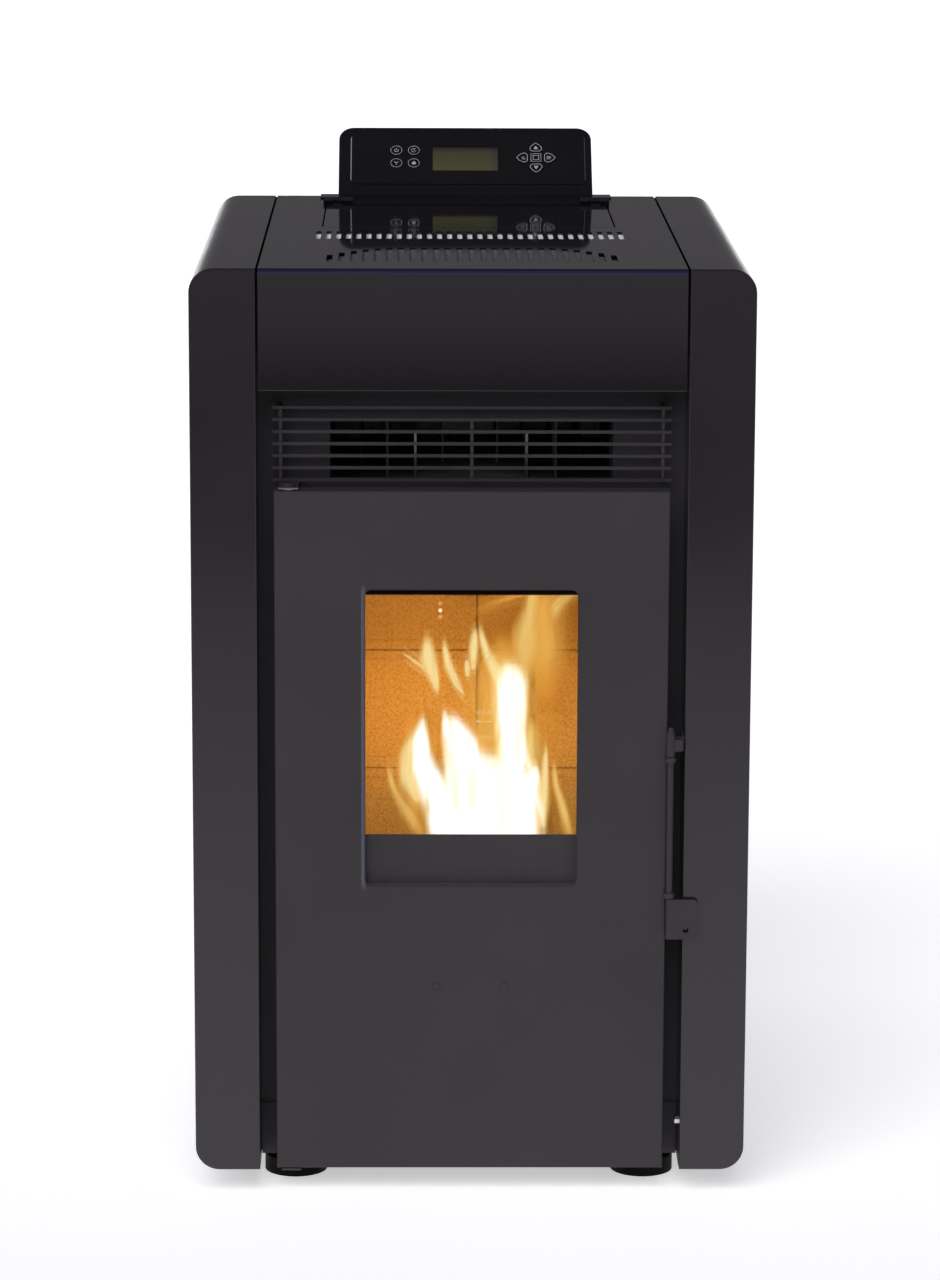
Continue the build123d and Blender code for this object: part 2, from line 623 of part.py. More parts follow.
def top_cover():
    low = CASING_H - APRON_H
    outline = make_face(Polyline(
        (0, low), (APRON_LIP, low), (APRON_LIP, low + COVER_T), (COVER_T, low + COVER_T),
        (COVER_T, COVER_UNDER), (BODY_D, COVER_UNDER), (BODY_D, CASING_H), (0, CASING_H), close=True))
    front = outline.vertices().group_by(Axis.X)[0]
    outline = fillet(front.sort_by(Axis.Y)[-1], FOLD_R)
    lower = outline.vertices().group_by(Axis.Y)[0].sort_by(Axis.X)[0]
    outline = fillet(lower, EDGE_R)
    cover = extrude(Plane.YZ.offset(-COVER_X) * outline, amount=2 * COVER_X)
    upper = (COVER_UNDER - COVER_T, CASING_H + COVER_T)
    cuts = []
    for count, span, wide, front, back, side in VENT_ROWS:
        for x in along(-span / 2, span / 2, count):
            outer = max(0, abs(x) / (span / 4) - 1)
            end = back - (back - side) * outer ** 2
            slot = Pos(x, (front + end) / 2) * SlotOverall(end - front, wide, rotation=90)
            cuts.append(extrude(Plane.XY.offset(upper[0]) * slot, amount=upper[1] - upper[0]))
    half = LID_W / 2 + LID_GAP
    lid_hole = Pos(0, (LID_FRONT_Y + LID_BACK_Y) / 2) * RectangleRounded(
        2 * half, LID_D + 2 * LID_GAP, LID_R + LID_GAP)
    cuts.append(extrude(Plane.XY.offset(upper[0]) * lid_hole, amount=upper[1] - upper[0]))
    return cover.cut(*cuts)


def vent_baffles():
    """Two sloping plates under the slots, each hanging from its rear edge."""
    plates = []
    for count, span, wide, front, back, _ in VENT_ROWS:
        fore, rear = front - BAFFLE_SIDE, back + BAFFLE_SIDE
        half = span / 2 + wide / 2 + BAFFLE_SIDE
        low = COVER_UNDER - BAFFLE_DROP
        outline = ((fore, low), (rear, COVER_UNDER - THIN), (rear, COVER_UNDER),
                   (rear - THIN, COVER_UNDER), (fore, low + THIN))
        plates.append(through_x(outline, (-half, half)))
    return plates


def screw_places():
    rows = along(SCREW_MARGIN, COVER_UNDER - SCREW_MARGIN, SCREW_ROWS)
    return [(x, z) for x in (-SCREW_X, SCREW_X) for z in rows]


def rear_panel():
    panel = centred(IN_X, (REAR_Y, BODY_D), (-TRAY_DROP, COVER_UNDER))
    depth = (REAR_Y, BODY_D)
    cuts = [round_y(FLUE_X, FLUE_Z, depth, FLUE_R + NEAR),
            round_y(AIR_PIPE_X, AIR_PIPE_Z, depth, AIR_PIPE_R + NEAR)]
    half_w, half_h = SOCKET_W / 2 + NEAR, SOCKET_H / 2 + NEAR
    cuts.append(block((SOCKET_X - half_w, SOCKET_X + half_w), depth, (SOCKET_Z - half_h, SOCKET_Z + half_h)))
    for x, z in screw_places():
        cuts.append(round_y(x, z, depth, SCREW_R + NEAR))
    for i in range(LOUVRES):
        slot = Pos(0, LOUVRE_Z + i * LOUVRE_PITCH) * SlotOverall(LOUVRE_W, LOUVRE_H)
        cuts.append(through_y(slot, depth))
    return panel.cut(*cuts)


def rear_screws():
    screws = []
    for x, z in screw_places():
        head = round_y(x, z, (BODY_D, BODY_D + SCREW_HEAD_T), SCREW_HEAD_R)
        head = fillet(head.edges().group_by(Axis.Y)[-1], SCREW_HEAD_T / 2)
        screws.append(head + round_y(x, z, (BODY_D - SCREW_L, BODY_D), SCREW_R))
    return screws


# ---------------------------------------------------------------- front frame, firebox
def front_frame():
    depth = (FRAME_Y, FRAME_BACK)
    frame = centred(IN_X, depth, (TRAY_TOP, FRAME_TOP))
    mouth = pane((-MOUTH_X, MOUTH_X), (MOUTH_BOTTOM, MOUTH_TOP), MOUTH_R)
    outlet = pane((-OUTLET_X, OUTLET_X), (OUTLET_BOTTOM, OUTLET_TOP))
    return frame - through_y(mouth, depth) - through_y(outlet, depth)


def pot_neck(margin):
    half = POT_W / 2 - POT_STEP + margin
    return (-half, half), (POT_Y - half, POT_Y + half)


def chute_hole(y):
    half = CHUTE_W / 2
    return centred(half, y, (CHUTE_MOUTH_LOW, CHUTE_MOUTH_HIGH))


def firebox_shell():
    wall = FIRE_WALL
    y = (FRAME_BACK, FIRE_BACK)
    shell = centred(FIRE_X, y, (TRAY_TOP, FIRE_TOP))
    shell -= centred(FIRE_X - wall, (FRAME_BACK, FIRE_IN_BACK), (ASH_TOP, HEARTH_Z - wall))
    shell -= centred(FIRE_X - wall, (FRAME_BACK, FIRE_IN_BACK), (HEARTH_Z, FIRE_TOP - wall))
    shell -= centred(FIRE_X - wall, y, (TRAY_TOP, ASH_FLOOR))
    neck_x, neck_y = pot_neck(NEAR)
    back = (FIRE_IN_BACK, FIRE_BACK)
    half = SMOKE_INLET / 2
    cuts = [block(neck_x, neck_y, (HEARTH_Z - wall, HEARTH_Z)), chute_hole(back),
            round_y(0, IGNITER_Z, back, IGNITER_R + NEAR),
            round_y(AIR_PIPE_X, AIR_PIPE_Z, back, AIR_PIPE_R - THIN),
            block((FLUE_X - half, FLUE_X + half), back, (SMOKE_Z - half, SMOKE_Z + half)),
            block((JOINT_X, JOINT_X + PROBE_SQ), back, (PROBE_Z, PROBE_Z + PROBE_SQ))]
    return shell.cut(*cuts)


def back_brick():
    half = FIRE_X - FIRE_WALL
    brick = centred(half, (BRICK_Y, FIRE_IN_BACK), (HEARTH_Z, BRICK_TOP))
    groove = (BRICK_Y, BRICK_Y + JOINT_DEEP)
    across = JOINT_W / 2
    cuts = [centred(half, groove, (z - across, z + across)) for z in (JOINT_LOW_Z, JOINT_HIGH_Z)]
    cuts.append(block((JOINT_X - across, JOINT_X + across), groove, (PROBE_Z, BRICK_TOP)))
    depth = (BRICK_Y, FIRE_IN_BACK)
    cuts.append(block((JOINT_X, JOINT_X + PROBE_SQ), depth, (PROBE_Z, PROBE_Z + PROBE_SQ)))
    cuts.append(chute_hole(depth))
    cuts.append(round_y(0, IGNITER_Z, depth, IGNITER_R + NEAR))
    return brick.cut(*cuts)


def fire_bricks():
    """The back brick and the two side bricks."""
    outer = FIRE_X - FIRE_WALL
    side = block((outer - SIDE_BRICK_T, outer), (FRAME_BACK, BRICK_Y), (HEARTH_Z, BRICK_TOP))
    groove = (outer - SIDE_BRICK_T, outer - SIDE_BRICK_T + JOINT_DEEP)
    for z in (JOINT_LOW_Z, JOINT_HIGH_Z):
        side -= block(groove, (FRAME_BACK, BRICK_Y), (z - JOINT_W / 2, z + JOINT_W / 2))
    return [back_brick(), side, mirrored(side)]


# ---------------------------------------------------------------- burn pot, igniter, ash pan
def burn_pot():
    half = POT_W / 2
    y = (POT_Y - half, POT_Y + half)
    pot = centred(half, y, (POT_FLOOR, POT_FLOOR + POT_H))
    pot = fillet(pot.edges().filter_by(Axis.Z), POT_WALL)
    inner = half - POT_WALL
    pot -= centred(inner, (POT_Y - inner, POT_Y + inner), (POT_FLOOR + POT_WALL, POT_FLOOR + POT_H))
    neck_x, neck_y = pot_neck(0)
    neck = block(neck_x, neck_y, (POT_FLOOR - POT_NECK, POT_FLOOR))
    shrink = half - POT_STEP - POT_WALL
    neck -= centred(shrink, (POT_Y - shrink, POT_Y + shrink), (POT_FLOOR - POT_NECK, POT_FLOOR))
    pot += neck
    high = POT_FLOOR + POT_HOLE_UP
    steps = along(-POT_HOLE_SPREAD, POT_HOLE_SPREAD, POT_HOLES)
    cuts = []
    for step in steps:
        cuts.append(round_y(step, high, y, POT_HOLE_R))
        cuts.append(round_x(POT_Y + step, high, (-half, half), POT_HOLE_R))
        for x in steps:
            cuts.append(round_z(x, POT_Y + step, (POT_FLOOR, POT_FLOOR + POT_WALL), POT_HOLE_R))
    free = IGNITER_R + IGNITER_GAP
    cuts.append(centred(free, (POT_Y + inner, POT_Y + half), (POT_FLOOR - POT_NECK, IGNITER_Z + free)))
    return pot.cut(*cuts)


def igniter():
    tip = POT_Y + POT_W / 2 + IGNITER_GAP
    rod = round_y(0, IGNITER_Z, (tip, FIRE_BACK + IGNITER_OUT), IGNITER_R)
    rod += round_y(0, IGNITER_Z, (FIRE_BACK, FIRE_BACK + SHEET), IGNITER_FLANGE_R)
    return rod


def ash_pan():
    floor = ASH_TOP
    y = (FRAME_BACK, PAN_BACK)
    pan = centred(PAN_X, y, (floor, floor + PAN_H))
    pan = fillet(pan.edges().filter_by(Axis.Z), PAN_R)
    pan -= centred(PAN_X - THIN, (y[0] + THIN, y[1] - THIN), (floor + THIN, floor + PAN_H))
    front = y[0] - PAN_GRIP_OUT
    grip_z = (floor + PAN_GRIP_UP, floor + PAN_GRIP_UP + PAN_GRIP_H)
    grip = centred(PAN_GRIP_W / 2, (front, y[0]), grip_z)
    grip -= centred(PAN_GRIP_W / 2 - THIN, (front + THIN, y[0]), grip_z)
    return pan + grip


# ---------------------------------------------------------------- warm-air side
def air_duct():
    """Channel over the firebox and two risers behind it; the firebox is its other wall."""
    half = OUTLET_X
    duct = centred(half + THIN, (FRAME_BACK, RISER_BACK), (FIRE_TOP, OUTLET_TOP + THIN))
    duct -= centred(half, (FRAME_BACK, RISER_BACK - THIN), (FIRE_TOP, OUTLET_TOP))
    gap = RISER_GAP / 2
    for side in (-1, 1):
        wide = sorted((side * gap, side * (half + THIN)))
        inner = sorted((side * (gap + THIN), side * half))
        duct += block(wide, (FIRE_BACK, RISER_BACK), (RISER_BOTTOM, FIRE_TOP))
        duct -= block(inner, (FIRE_BACK, RISER_BACK - THIN), (RISER_BOTTOM + THIN, FIRE_TOP))
        port = sorted((side * (gap + 2 * THIN), side * (FAN_X - THIN)))
        duct -= block(port, (RISER_BACK - THIN, RISER_BACK), FAN_PORT_Z)
    return duct


def heat_exchanger():
    """Fins that stand on the firebox top in the warm-air channel."""
    half = FIN_PITCH * len(FIN_FRONTS)
    plate = centred(half, (min(FIN_FRONTS), FIRE_BACK), (FIRE_TOP, FIRE_TOP + FIN_T))
    for i, front in enumerate(FIN_FRONTS, 1):
        top = OUTLET_TOP if i == TALL_FIN else FIRE_TOP + FIN_H
        for x in (-i * FIN_PITCH, i * FIN_PITCH):
            plate += block((x - FIN_T / 2, x + FIN_T / 2), (front, FIRE_BACK), (FIRE_TOP, top))
    return plate


def room_fan_housing():
    inner = FAN_R + FAN_TIP_GAP
    half = FAN_X
    shell = round_x(FAN_Y, FAN_Z, (-half - THIN, half + THIN), inner + THIN)
    low, high = FAN_PORT_Z
    gap = RISER_GAP / 2 + 2 * THIN
    for side in (-1, 1):
        x = sorted((side * (gap - THIN), side * half))
        shell += block(x, (RISER_BACK, FAN_Y), (low - THIN, high + THIN))
    shell -= round_x(FAN_Y, FAN_Z, (-half, half), inner)
    for side in (-1, 1):
        x = sorted((side * gap, side * (half - THIN)))
        shell -= block(x, (RISER_BACK, FAN_Y), (low, high))
    inlet_z = (FAN_Z - FAN_INLET_H / 2, FAN_Z + FAN_INLET_H / 2)
    shell -= centred(half - THIN, (FAN_Y, FAN_Y + inner + SHEET), inlet_z)
    shell -= round_x(FAN_Y, FAN_Z, (-half - THIN, half + THIN), FAN_SHAFT_R + RUN)
    return shell


def room_fan_rotor():
    half = FAN_X - FAN_TIP_GAP
    disc = FAN_DISC_T
    rotor = round_x(FAN_Y, FAN_Z, (-half, -half + disc), FAN_R)
    rotor += round_x(FAN_Y, FAN_Z, (half - disc, half), FAN_R)
    rotor += round_x(FAN_Y, FAN_Z, (-disc / 2, disc / 2), FAN_R)
    blade = Rot(FAN_BLADE_LEAN, 0, 0) * Box(2 * half, FAN_BLADE_T, FAN_BLADE_L)
    blade = Pos(0, 0, FAN_R - FAN_BLADE_L / 2) * blade
    turn = 360 / FAN_BLADES
    blades = [Pos(0, FAN_Y, FAN_Z) * Rot(i * turn, 0, 0) * blade for i in range(FAN_BLADES)]
    rotor = rotor.fuse(*blades)
    end = FAN_X + THIN
    return rotor + round_x(FAN_Y, FAN_Z, (-end, end + FAN_SHAFT_IN), FAN_SHAFT_R)


def room_fan_motor():
    start = FAN_X + THIN
    motor = round_x(FAN_Y, FAN_Z, (start, start + FAN_MOTOR_L), FAN_MOTOR_R)
    motor = fillet(motor.edges().group_by(Axis.X)[-1], MOTOR_R)
    return motor - round_x(FAN_Y, FAN_Z, (start, start + FAN_SHAFT_IN + SHAFT_SPARE), FAN_SHAFT_R + RUN)


# ---------------------------------------------------------------- grille
def outlet_grille():
    top = GRILLE_LOW_Z + (GRILLE_BARS - 1) * GRILLE_PITCH
    half_bar = GRILLE_BAR / 2
    y = (GRILLE_Y, GRILLE_Y + GRILLE_BAR)
    grille = None
    for z in along(GRILLE_LOW_Z, top, GRILLE_BARS):
        wire = centred(GRILLE_X, y, (z - half_bar, z + half_bar))
        grille = wire if grille is None else grille + wire
    for x in (-GRILLE_POST_X, 0, GRILLE_POST_X):
        post = (x - half_bar, x + half_bar)
        post_top = top if x else top - GRILLE_PITCH
        ends = (GRILLE_LOW_Z - half_bar, post_top + half_bar)
        grille += block(post, (GRILLE_Y + half_bar, GRILLE_Y + GRILLE_BAR + half_bar), ends)
        if x:
            for z in (GRILLE_LOW_Z, top):
                grille += block(post, (GRILLE_Y + half_bar, FRAME_Y), (z - half_bar, z + half_bar))
    return grille


# ---------------------------------------------------------------- fuel side
def hopper_lid():
    y_mid = (LID_FRONT_Y + LID_BACK_Y) / 2
    plate = Pos(0, y_mid) * RectangleRounded(LID_W, LID_D, LID_R)
    lid = extrude(Plane.XY.offset(COVER_UNDER) * plate, amount=COVER_T)
    lid = fillet(lid.edges().group_by(Axis.Z)[-1], LID_EDGE_R)
    inset = LID_FLANGE_IN
    half = LID_W / 2 - inset
    skirt_z = (COVER_UNDER - LID_FLANGE, COVER_UNDER)
    skirt = centred(half, (LID_FRONT_Y + inset, LID_BACK_Y - inset), skirt_z)
    skirt -= centred(half - THIN, (LID_FRONT_Y + inset + THIN, LID_BACK_Y - inset - THIN), skirt_z)
    lid += skirt
    for x in lid_hinge_places():
        knuckle = round_x(LID_PIN_Y, LID_PIN_Z, x, LID_KNUCKLE_R)
        leaf = block(x, (LID_BACK_Y - LID_LEAF_L, LID_PIN_Y), (CASING_H, CASING_H + LID_LEAF_T))
        lid += knuckle + leaf
        lid -= round_x(LID_PIN_Y, LID_PIN_Z, x, LID_PIN_R + RUN)
    return lid


def lid_hinge_places():
    """The lid's knuckle in each hinge, as its left and right ends."""
    half = LID_KNUCKLE_L / 2
    return [(x - half, x + half) for x in (-LID_HINGE_X, LID_HINGE_X)]


def lid_hinges():
    """The fixed leaves with their pins; each holds one knuckle of the lid between two of its own."""
    hinges = []
    for low, high in lid_hinge_places():
        hinge = round_x(LID_PIN_Y, LID_PIN_Z, (low - LID_KNUCKLE_L, high + LID_KNUCKLE_L), LID_PIN_R)
        ends = ((low - LID_KNUCKLE_L, low - NEAR), (high + NEAR, high + LID_KNUCKLE_L))
        for x in ends:
            hinge += round_x(LID_PIN_Y, LID_PIN_Z, x, LID_KNUCKLE_R)
            hinge += block(x, (LID_PIN_Y, LID_PIN_Y + LID_LEAF_L), (CASING_H, CASING_H + LID_LEAF_T))
        back = (LID_PIN_Y + LID_KNUCKLE_R + NEAR, LID_PIN_Y + LID_LEAF_L)
        hinge += block((low - LID_KNUCKLE_L, high + LID_KNUCKLE_L), back, (CASING_H, CASING_H + LID_LEAF_T))
        hinges.append(hinge)
    return hinges


def hopper():
    """A straight mouth over a funnel that stands on the auger's collar."""
    knee = HOPPER_TOP - HOPPER_STRAIGHT
    foot = AUGER_Z + COLLAR_UP

    def funnel(skin):
        mouth = Pos(0, HOPPER_Y + HOPPER_D / 2) * Rectangle(HOPPER_W - 2 * skin, HOPPER_D - 2 * skin)
        neck = Pos(0, COLLAR_Y) * Rectangle(COLLAR_W + 2 * THIN - 2 * skin, COLLAR_D + 2 * THIN - 2 * skin)
        cone = loft([Plane.XY.offset(foot) * neck, Plane.XY.offset(knee) * mouth])
        return cone + extrude(Plane.XY.offset(knee) * mouth, amount=HOPPER_STRAIGHT)

    body = funnel(0) - funnel(THIN)
    rim = Pos(0, HOPPER_Y + HOPPER_D / 2) * (
        Rectangle(HOPPER_W + 2 * HOPPER_RIM, HOPPER_D + HOPPER_RIM) - Rectangle(HOPPER_W, HOPPER_D))
    body += extrude(Plane.XY.offset(HOPPER_TOP - THIN) * rim, amount=THIN)
    for x in (-HOPPER_W / 2, HOPPER_W / 2 - THIN):
        ear_y = (HOPPER_Y + HOPPER_D, REAR_Y)
        body += block((x, x + THIN), ear_y, (HOPPER_TOP - HOPPER_EAR_H, HOPPER_TOP))
    return body


def auger_tube():
    end = AUGER_BACK
    outer = AUGER_R + SHEET
    top = AUGER_Z + COLLAR_UP
    tube = round_y(0, AUGER_Z, (AUGER_Y, end), outer)
    collar_y = (COLLAR_Y - COLLAR_D / 2, COLLAR_Y + COLLAR_D / 2)
    tube += centred(COLLAR_W / 2 + THIN, (collar_y[0] - THIN, collar_y[1] + THIN), (AUGER_Z, top))
    tube += round_y(0, AUGER_Z, (end - SHEET, end), GEARMOTOR_R)
    tube -= centred(COLLAR_W / 2, collar_y, (AUGER_Z, top))
    tube -= round_y(0, AUGER_Z, (AUGER_Y + SHEET, end - SHEET), AUGER_R)
    tube -= round_y(0, AUGER_Z, (AUGER_Y, end), AUGER_JOURNAL_R + RUN)
    tube -= centred(CHUTE_W / 2 - SHEET, DROP_Y, (AUGER_Z - outer, CHUTE_TOP))
    return tube


def auger_screw():
    """A shaft with one helical flight, turned by the gearmotor at its rear end."""
    start = AUGER_Y + AUGER_END
    length = AUGER_BACK - AUGER_Y - 2 * AUGER_END
    tip = AUGER_R - AUGER_GAP
    root = AUGER_SHAFT_R - FLIGHT_ROOT
    middle = (tip + root) / 2
    path = Helix(AUGER_PITCH, length - FLIGHT_T, middle)
    section = Plane(origin=path @ 0, x_dir=(1, 0, 0), z_dir=path % 0) * Rectangle(tip - root, FLIGHT_T)
    flight = Pos(0, 0, FLIGHT_T / 2) * sweep(section, path=path, is_frenet=True)
    shaft = round_y(0, AUGER_Z, (start, start + length), AUGER_SHAFT_R)
    shaft += Pos(0, start, AUGER_Z) * Rot(-90, 0, 0) * flight
    journal = (AUGER_Y, AUGER_BACK + AUGER_SHAFT_IN)
    return shaft + round_y(0, AUGER_Z, journal, AUGER_JOURNAL_R)


def auger_motor():
    start = AUGER_BACK
    motor = round_y(0, AUGER_Z, (start, start + GEARMOTOR_L), GEARMOTOR_R)
    motor = fillet(motor.edges().group_by(Axis.Y)[-1], MOTOR_R)
    return motor - round_y(0, AUGER_Z, (start, start + AUGER_SHAFT_IN + SHAFT_SPARE), AUGER_JOURNAL_R + RUN)


def pellet_chute():
    """A sloping box from the auger's drop opening to the hole in the firebox back."""
    outer = AUGER_R + SHEET
    under = AUGER_Z - outer
    front, back = DROP_Y

    def profile(inset):
        return ((FIRE_BACK, CHUTE_MOUTH_LOW + inset), (back + THIN - inset, under - CHUTE_BEND + inset),
                (back + THIN - inset, CHUTE_TOP), (front - THIN + inset, CHUTE_TOP),
                (front - THIN + inset, under), (FIRE_BACK, CHUTE_MOUTH_HIGH - inset))

    half = CHUTE_W / 2
    chute = through_x(profile(0), (-half, half)) - through_x(profile(THIN), (THIN - half, half - THIN))
    return chute - round_y(0, AUGER_Z, (FIRE_BACK, back + SHEET), outer)


# ---------------------------------------------------------------- smoke side
def smoke_fan_housing():
    """The drum around the wheel, with its square inlet duct and the hole to the flue."""
    half = SMOKE_W / 2
    wall = THIN
    shell = round_x(SMOKE_Y, SMOKE_Z, (FLUE_X - half, FLUE_X + half), DRUM_R)
    duct = SMOKE_INLET / 2
    duct_x, duct_z = (FLUE_X - duct, FLUE_X + duct), (SMOKE_Z - duct, SMOKE_Z + duct)
    shell += block(duct_x, (FIRE_BACK, SMOKE_Y), duct_z)
    shell -= round_x(SMOKE_Y, SMOKE_Z, (FLUE_X - half + wall, FLUE_X + half - wall), SMOKE_R)
    shell -= round_y(FLUE_X, FLUE_Z, (SMOKE_Y, SMOKE_Y + DRUM_R), FLUE_R - FLUE_WALL)
    inner = duct - wall
    shell -= block((FLUE_X - inner, FLUE_X + inner), (FIRE_BACK, SMOKE_Y), (SMOKE_Z - inner, SMOKE_Z + inner))
    return shell - round_x(SMOKE_Y, SMOKE_Z, (FLUE_X + half - wall, FLUE_X + half), SMOKE_SHAFT_R + RUN)


def smoke_impeller():
    side = FLUE_X + SMOKE_W / 2 - THIN
    back = side - IMPELLER_GAP
    wheel = round_x(SMOKE_Y, SMOKE_Z, (back - SHEET, back), IMPELLER_R)
    wheel += round_x(SMOKE_Y, SMOKE_Z, (back - IMPELLER_T, back), IMPELLER_HUB_R)
    reach = IMPELLER_R - SMOKE_SHAFT_R
    middle = (IMPELLER_R + SMOKE_SHAFT_R) / 2
    blade = Pos(back - IMPELLER_T / 2, 0, middle) * Box(IMPELLER_T, SHEET, reach)
    turn = 360 / IMPELLER_BLADES
    place = Pos(0, SMOKE_Y, SMOKE_Z)
    wheel = wheel.fuse(*[place * Rot(i * turn, 0, 0) * blade for i in range(IMPELLER_BLADES)])
    shaft = (back - IMPELLER_T, side + THIN + SMOKE_SHAFT_IN)
    return wheel + round_x(SMOKE_Y, SMOKE_Z, shaft, SMOKE_SHAFT_R)


def smoke_fan_motor():
    start = FLUE_X + SMOKE_W / 2
    motor = round_x(SMOKE_Y, SMOKE_Z, (start, start + SMOKE_MOTOR_L), SMOKE_MOTOR_R)
    motor = fillet(motor.edges().group_by(Axis.X)[-1], MOTOR_R)
    bore = (start, start + SMOKE_SHAFT_IN + SHAFT_SPARE)
    return motor - round_x(SMOKE_Y, SMOKE_Z, bore, SMOKE_SHAFT_R + RUN)


def spigot(x, z, y, radius, wall):
    """A pipe through the rear panel, with a flange on the panel and a groove beside the flange."""
    flange = (BODY_D, BODY_D + SPIGOT_FLANGE_T)
    groove = (flange[1], SPIGOT_START)
    pipe = round_y(x, z, y, radius)
    pipe -= round_y(x, z, groove, radius)
    pipe += round_y(x, z, groove, radius - GROOVE_DEEP)
    pipe += round_y(x, z, flange, radius + SPIGOT_FLANGE)
    return pipe - round_y(x, z, y, radius - wall)


def flue_spigot():
    pipe = spigot(FLUE_X, FLUE_Z, (SMOKE_Y, BODY_D + FLUE_REACH), FLUE_R, FLUE_WALL)
    half = SMOKE_W / 2
    return pipe - round_x(SMOKE_Y, SMOKE_Z, (FLUE_X - half, FLUE_X + half), DRUM_R)


def air_inlet_pipe():
    return spigot(AIR_PIPE_X, AIR_PIPE_Z, (FIRE_BACK, BODY_D + AIR_PIPE_REACH), AIR_PIPE_R, THIN)


# ---------------------------------------------------------------- door
def door_panel():
    skin = through_y(pane((-DOOR_X, DOOR_X), (0, DOOR_H)), (DOOR_Y, SKIN_BACK + DOOR_LIP))
    window = pane((-WINDOW_W / 2, WINDOW_W / 2), (WINDOW_BOTTOM, WINDOW_TOP), WINDOW_R)
    front = skin.faces().sort_by(Axis.Y)[0]
    skin = fillet(front.edges(), EDGE_R)
    skin -= through_y(window, (DOOR_Y, SKIN_BACK + DOOR_LIP))
    front = skin.faces().sort_by(Axis.Y)[0]
    skin = fillet(front.inner_wires()[0].edges(), WINDOW_EDGE_R)
    skin -= centred(DOOR_X - SHEET, (SKIN_BACK, SKIN_BACK + DOOR_LIP), (SHEET, DOOR_H - SHEET))
    for low in (0, DOOR_H - PIN_UP - SHEET):
        skin += round_z(-HINGE_X, HINGE_Y, (low, low + PIN_UP + SHEET), BOSS_R)
        skin -= round_z(-HINGE_X, HINGE_Y, (low, low + PIN_UP + SHEET), PIN_R + RUN)
    for x in (-RIVET_X, RIVET_X):
        skin -= round_y(x, RIVET_Z, (DOOR_Y, SKIN_BACK), RIVET_R)
    for z in LUG_Z:
        lug_z = (z, z + LUG_H)
        lug = round_z(ROD_X, ROD_Y, lug_z, LUG_R)
        lug += block((DOOR_X - SHEET, ROD_X + LUG_R), (ROD_Y, SKIN_BACK), lug_z)
        skin += lug
        skin -= round_z(ROD_X, ROD_Y, lug_z, ROD_R + RUN)
    return skin


def rope_ring(half, y):
    """A square ring around the firebox mouth, half wide each way from the rope's centre line."""
    out, hole = ROPE_X + half, ROPE_X - half
    outer = pane((-out, out), (ROPE_LOW - half, ROPE_HIGH + half))
    inner = pane((-hole, hole), (ROPE_LOW + half, ROPE_HIGH - half))
    return through_y(outer - inner, y)


def door_frame():
    """The welded ring behind the skin; its back seats the sealing rope."""
    frame = rope_ring(CHANNEL_HALF, (SKIN_BACK, CHANNEL_BACK))
    frame -= rope_ring(CHANNEL_HALF - THIN, (SKIN_BACK, CHANNEL_BACK - CHANNEL_SEAT - THIN))
    return frame - rope_ring(ROPE_R, (CHANNEL_BACK - CHANNEL_SEAT, CHANNEL_BACK))


def door_rope():
    rope = rope_ring(ROPE_R, (ROPE_BACK - ROPE_D, ROPE_BACK))
    back = rope.faces().sort_by(Axis.Y)[-1]
    return fillet(back.edges(), ROPE_ROUND)


def glass_outline(grow):
    half = WINDOW_W / 2 + grow
    return pane((-half, half), (WINDOW_BOTTOM - grow, WINDOW_TOP + grow), WINDOW_R)


def door_glass():
    return through_y(glass_outline(GLASS_OVER), (GLASS_Y, GLASS_BACK))


def door_seals():
    """The flat seal between skin and glass, and the rope around the firebox mouth."""
    glass_seal = through_y(glass_outline(GLASS_OVER) - glass_outline(NEAR), (SKIN_BACK, GLASS_Y))
    return [door_rope(), glass_seal]


def clamp_screw_places():
    rows = (RETAINER_LOW + CLAMP_SCREW_IN, RETAINER_HIGH - CLAMP_SCREW_IN)
    return [(x, z) for x in (-CLAMP_SCREW_X, CLAMP_SCREW_X) for z in rows]


def clamp_holes(piece, y):
    for x, z in clamp_screw_places():
        piece -= round_y(x, z, y, CLAMP_SCREW_R + NEAR)
    return piece


def ash_guard():
    depth = (GLASS_BACK, GLASS_BACK + GUARD_T)
    guard = centred(RETAINER_X, depth, (RETAINER_LOW, GUARD_TOP))
    return clamp_holes(guard, depth)


def glass_clamps():
    """The upper strip holds the glass, the lower one the ash guard with it, and four screws hold both."""
    lower_y = (GLASS_BACK + GUARD_T, GLASS_BACK + GUARD_T + RETAINER_T)
    upper_y = (GLASS_BACK, GLASS_BACK + RETAINER_T)
    lower = centred(RETAINER_X, lower_y, (RETAINER_LOW, RETAINER_LOW + RETAINER_H))
    upper = centred(RETAINER_X, upper_y, (RETAINER_HIGH - RETAINER_H, RETAINER_HIGH))
    return [clamp_holes(lower, lower_y), clamp_holes(upper, upper_y)] + clamp_screws()


def clamp_screws():
    screws = []
    for x, z in clamp_screw_places():
        upper = z > WINDOW_TOP
        back = GLASS_BACK + RETAINER_T + (0 if upper else GUARD_T)
        screw = round_y(x, z, (SKIN_BACK, back), CLAMP_SCREW_R)
        screws.append(screw + round_y(x, z, (back, back + CLAMP_HEAD_T), CLAMP_HEAD_R))
    return screws


def door_rivets():
    rivets = []
    for x in (-RIVET_X, RIVET_X):
        head = round_y(x, RIVET_Z, (DOOR_Y - RIVET_HEAD, DOOR_Y), RIVET_HEAD_R)
        head = fillet(head.edges().group_by(Axis.Y)[0], RIVET_ROUND)
        rivets.append(head + round_y(x, RIVET_Z, (DOOR_Y, SKIN_BACK), RIVET_R))
    return rivets


